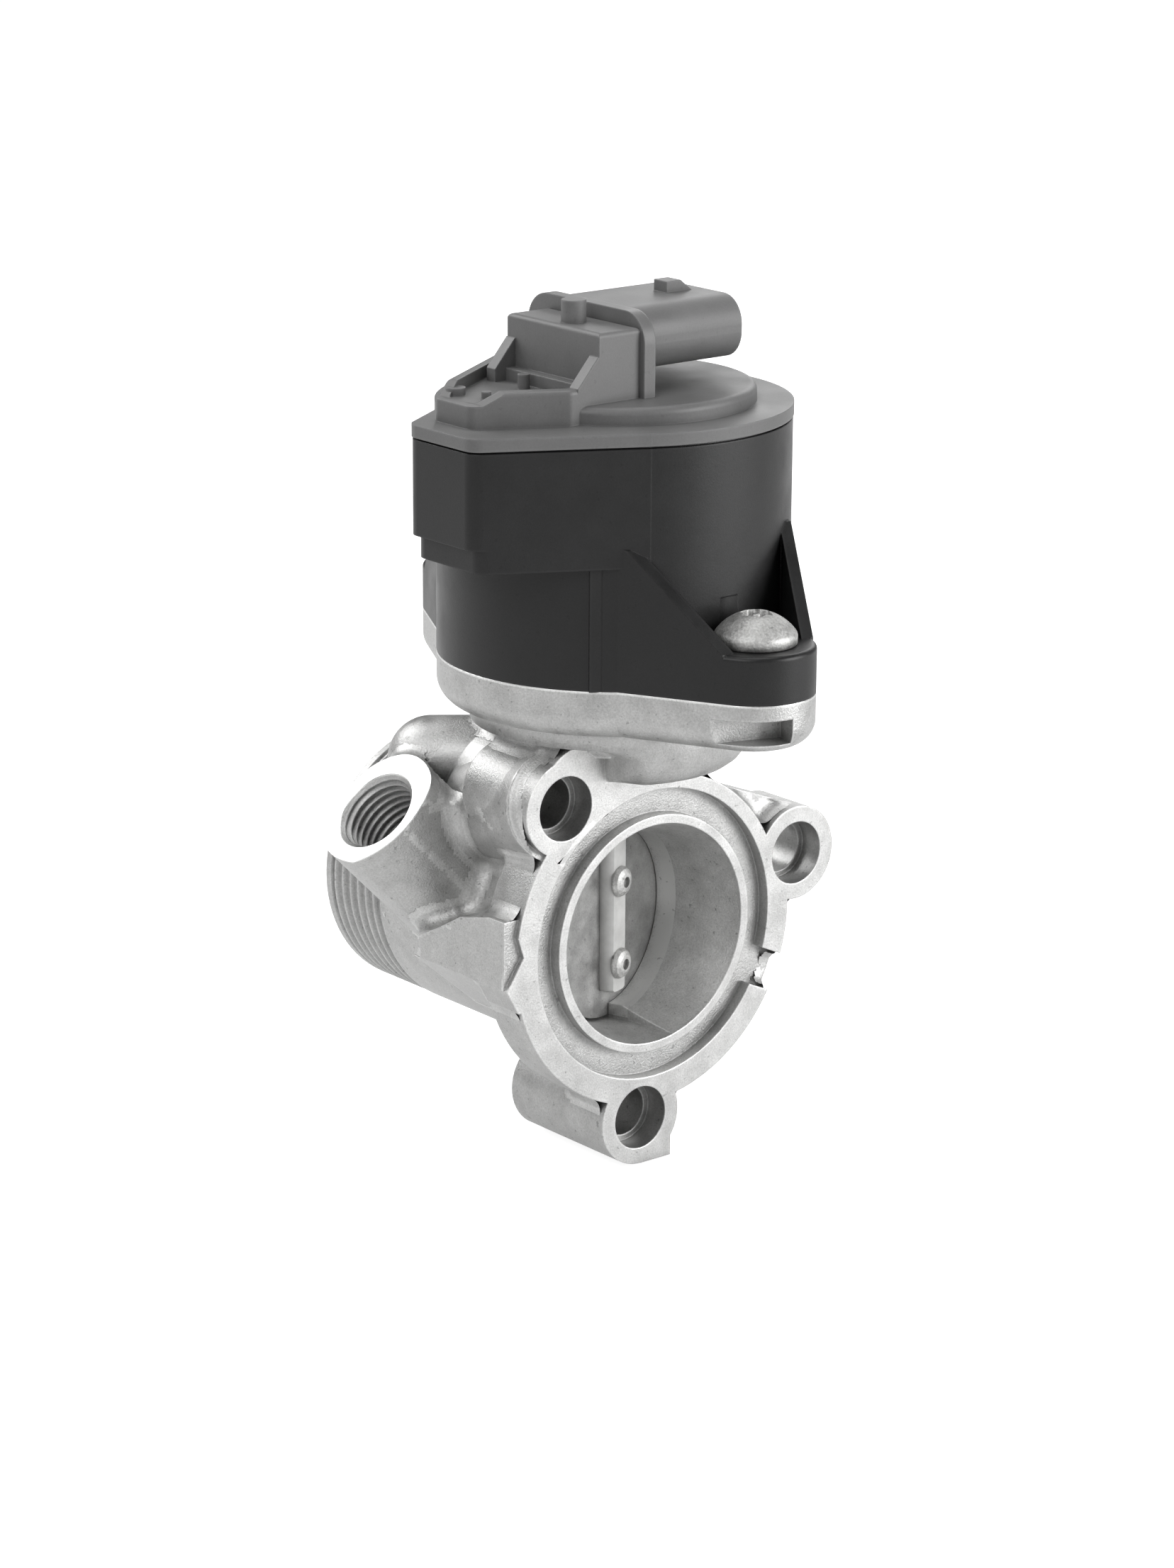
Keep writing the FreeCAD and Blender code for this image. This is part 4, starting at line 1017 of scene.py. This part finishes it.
@dataclass(frozen=True)
class LugScrew:
    """Round-headed screw with a six-lobed socket round a small pin, in millimetres."""

    head_radius: float = 6.75
    head_height: float = 5.35
    rim_height: float = 1.7
    dome_rings: int = 14
    socket_radius: float = 2.35
    lobe: float = 0.32
    lobes: int = 6
    socket_depth: float = 2.0
    socket_edge: float = 0.15
    pin_radius: float = 0.75
    pin_drop: float = 0.5
    shank_radius: float = 2.95
    shank_length: float = 15.8
    chamfer: float = 0.2
    tip: tuple[float, float] = (0.9, 1.0)
    steps: int = 96

    def _dome(self, radius: np.ndarray | float) -> np.ndarray | float:
        """Height of the head over its seat, a ball cap on a low cylinder.

        Args:
            radius: distance from the screw's axis.

        Returns:
            The height there.
        """
        cap = self.head_height - self.rim_height
        ball = (self.head_radius ** 2 + cap ** 2) / (2.0 * cap)
        return self.head_height - ball + np.sqrt(np.maximum(ball ** 2 - radius ** 2, 0.0))

    def _socket(self, star: np.ndarray) -> list[Ring]:
        """Rings from the pin's rounded top over the socket's floor to its mouth.

        Args:
            star: radius of the socket's wall in each direction.

        Returns:
            Radius and height of each ring.
        """
        pin, edge = self.pin_radius, self.socket_edge
        top = self.head_height - self.pin_drop
        floor = self.head_height - self.socket_depth
        mouth = self._dome(star)
        return [(0.4 * pin, top), (0.85 * pin, top - 0.03), (pin, top - 0.2), (pin, floor + 0.05),
                (1.05 * pin, floor), (star - edge, floor), (star, floor + edge),
                (star, mouth - 0.12), (star + 0.05, mouth - 0.03)]

    def _head(self, star: np.ndarray) -> list[Ring]:
        """Rings over the dome, from the socket's mouth to the rounded rim.

        Args:
            star: radius of the socket's wall in each direction.

        Returns:
            Radius and height of each ring.
        """
        start, end = star + self.socket_edge, self.head_radius - 0.3
        shares = np.linspace(0.0, 1.0, self.dome_rings)
        radii = [start * (1.0 - share) + end * share for share in shares]
        radii.append(self.head_radius - 0.12)
        rings = [(radius, self._dome(radius)) for radius in radii]
        return rings + [(self.head_radius, self._dome(self.head_radius) - 0.25)]

    def _shank(self) -> list[Ring]:
        """Rings from the head's side under it and down the shank.

        Returns:
            Radius and height of each ring.
        """
        head, shank, soft = self.head_radius, self.shank_radius, self.chamfer
        taper, point = self.tip
        return [(head, soft), (head - soft, 0.0), (shank + soft, 0.0), (shank, -soft),
                (shank, point - self.shank_length), (shank - taper, -self.shank_length)]

    def skin(self) -> tuple[np.ndarray, np.ndarray]:
        """Closed skin of the screw; the socket's wall is a circle plus a wave of six lobes.

        Returns:
            Points, from the middle of the head's seat, and triangles.
        """
        angle = np.linspace(0.0, 2.0 * np.pi, self.steps, endpoint=False)
        star = self.socket_radius + self.lobe * np.cos(self.lobes * angle)
        rings = self._socket(star) + self._head(star) + self._shank()
        radii, heights = (np.array([np.broadcast_to(value, self.steps) for value in part])
                          for part in zip(*rings))
        return turned_skin(radii * MM, heights * MM)

    def build(self, dresser: Dresser, places: list[Point]) -> None:
        """Add the screws in place of the plain ones.

        Args:
            dresser: source of the material.
            places: seat of each screw's head, millimetres.
        """
        points, faces = self.skin()
        spots = np.array(places) * MM
        all_points = (points[None, :, :] + spots[:, None, :]).reshape(-1, 3)
        steps = np.arange(len(places))[:, None, None] * len(points)
        all_faces = (faces[None, :, :] + steps).reshape(-1, 3)
        piece = add_piece("lug_screws", all_points, all_faces, dresser.material(ZINC),
                          Body.HOUSING)
        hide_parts("actuator_screws")


@dataclass(frozen=True)
class NeckCollar:
    """Widening of the casting's neck, which overhangs the flange in front.

    Lengths are millimetres, and directions are degrees from the front towards
    +X. Below fade_top the collar grows from its core at fade_in and is back at
    it at fade_out, which leaves the upper left lug and the port clear. Each of
    the two gives a direction and the width of the ramp inside it.
    """

    outline: tuple[tuple[float, float], ...] = (
        (15.0, 40.8), (23.6, 40.8), (24.0, 40.0), (23.9, 36.0), (23.6, 33.6), (22.9, 31.8),
        (21.6, 30.0), (20.4, 29.1), (19.0, 28.2), (17.2, 27.0), (15.9, 26.0), (15.0, 25.6))
    core: float = 15.0
    fade_top: float = 33.8
    fade_in: tuple[float, float] = (-48.0, 24.0)
    fade_out: tuple[float, float] = (170.0, 40.0)
    front: float = -11.0
    overhang: float = 14.0
    overhang_low: float = 28.9
    lug_edge: tuple[float, float] = (-15.0, 29.0)
    lug_slope: float = 1.5
    lug_blend: float = 7.0
    steps: int = 160

    def _share(self, height: np.ndarray) -> np.ndarray:
        """Share of the widening in each direction, rising and falling in straight ramps.

        Args:
            height: rings by 1.

        Returns:
            Rings by directions, 1 for the full collar.
        """
        angle = np.linspace(0.0, 2.0 * np.pi, self.steps, endpoint=False)
        side = np.degrees(np.arctan2(np.cos(angle), -np.sin(angle)))
        rise = np.clip((side - self.fade_in[0]) / self.fade_in[1], 0.0, 1.0)
        fall = np.clip((self.fade_out[0] - side) / self.fade_out[1], 0.0, 1.0)
        return np.where(height < self.fade_top, rise * fall, 1.0)

    def _front(self, x: np.ndarray, z: np.ndarray) -> np.ndarray:
        """Foremost y at each place: the flange's back, or the overhang right of the lug.

        Args:
            x: places, millimetres.
            z: heights, millimetres.

        Returns:
            The least y there.
        """
        past = x - self.lug_edge[0] + self.lug_slope * (z - self.lug_edge[1])
        clear = np.clip(past / self.lug_blend, 0.0, 1.0) * (z > self.overhang_low)
        return self.front - self.overhang * clear

    def build(self, dresser: Dresser) -> None:
        """Add the collar.

        Args:
            dresser: source of the material.
        """
        radius, height = (row[:, None] for row in np.array(self.outline).T)
        radii = self.core + (radius - self.core) * self._share(height)
        points, faces = turned_skin(radii * MM, (height + 0.0 * radii) * MM)
        x, _, z = points.T / MM
        points[:, 1] = np.maximum(points[:, 1], self._front(x, z) * MM)
        add_piece("neck_collar", points, faces, dresser.material(CAST), Body.HOUSING)


def main() -> None:
    """Load the frame, dress it and set the stage."""
    logging.basicConfig(level=logging.INFO, format="%(message)s")
    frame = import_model()
    bpy.context.scene.view_settings.view_transform = "Standard"
    dresser = Dresser()
    dresser.dress(frame["nodes"])
    Casting().build(frame["nodes"]["valve_housing"], dresser)
    NeckCollar().build(dresser)
    LugScrew().build(dresser, [(0.0, -SCREW_Y, SCREW_SEAT_Z), (0.0, SCREW_Y, SCREW_SEAT_Z)])
    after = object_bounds()
    Studio().build(after[0])


if __name__ == "__main__":
    main()
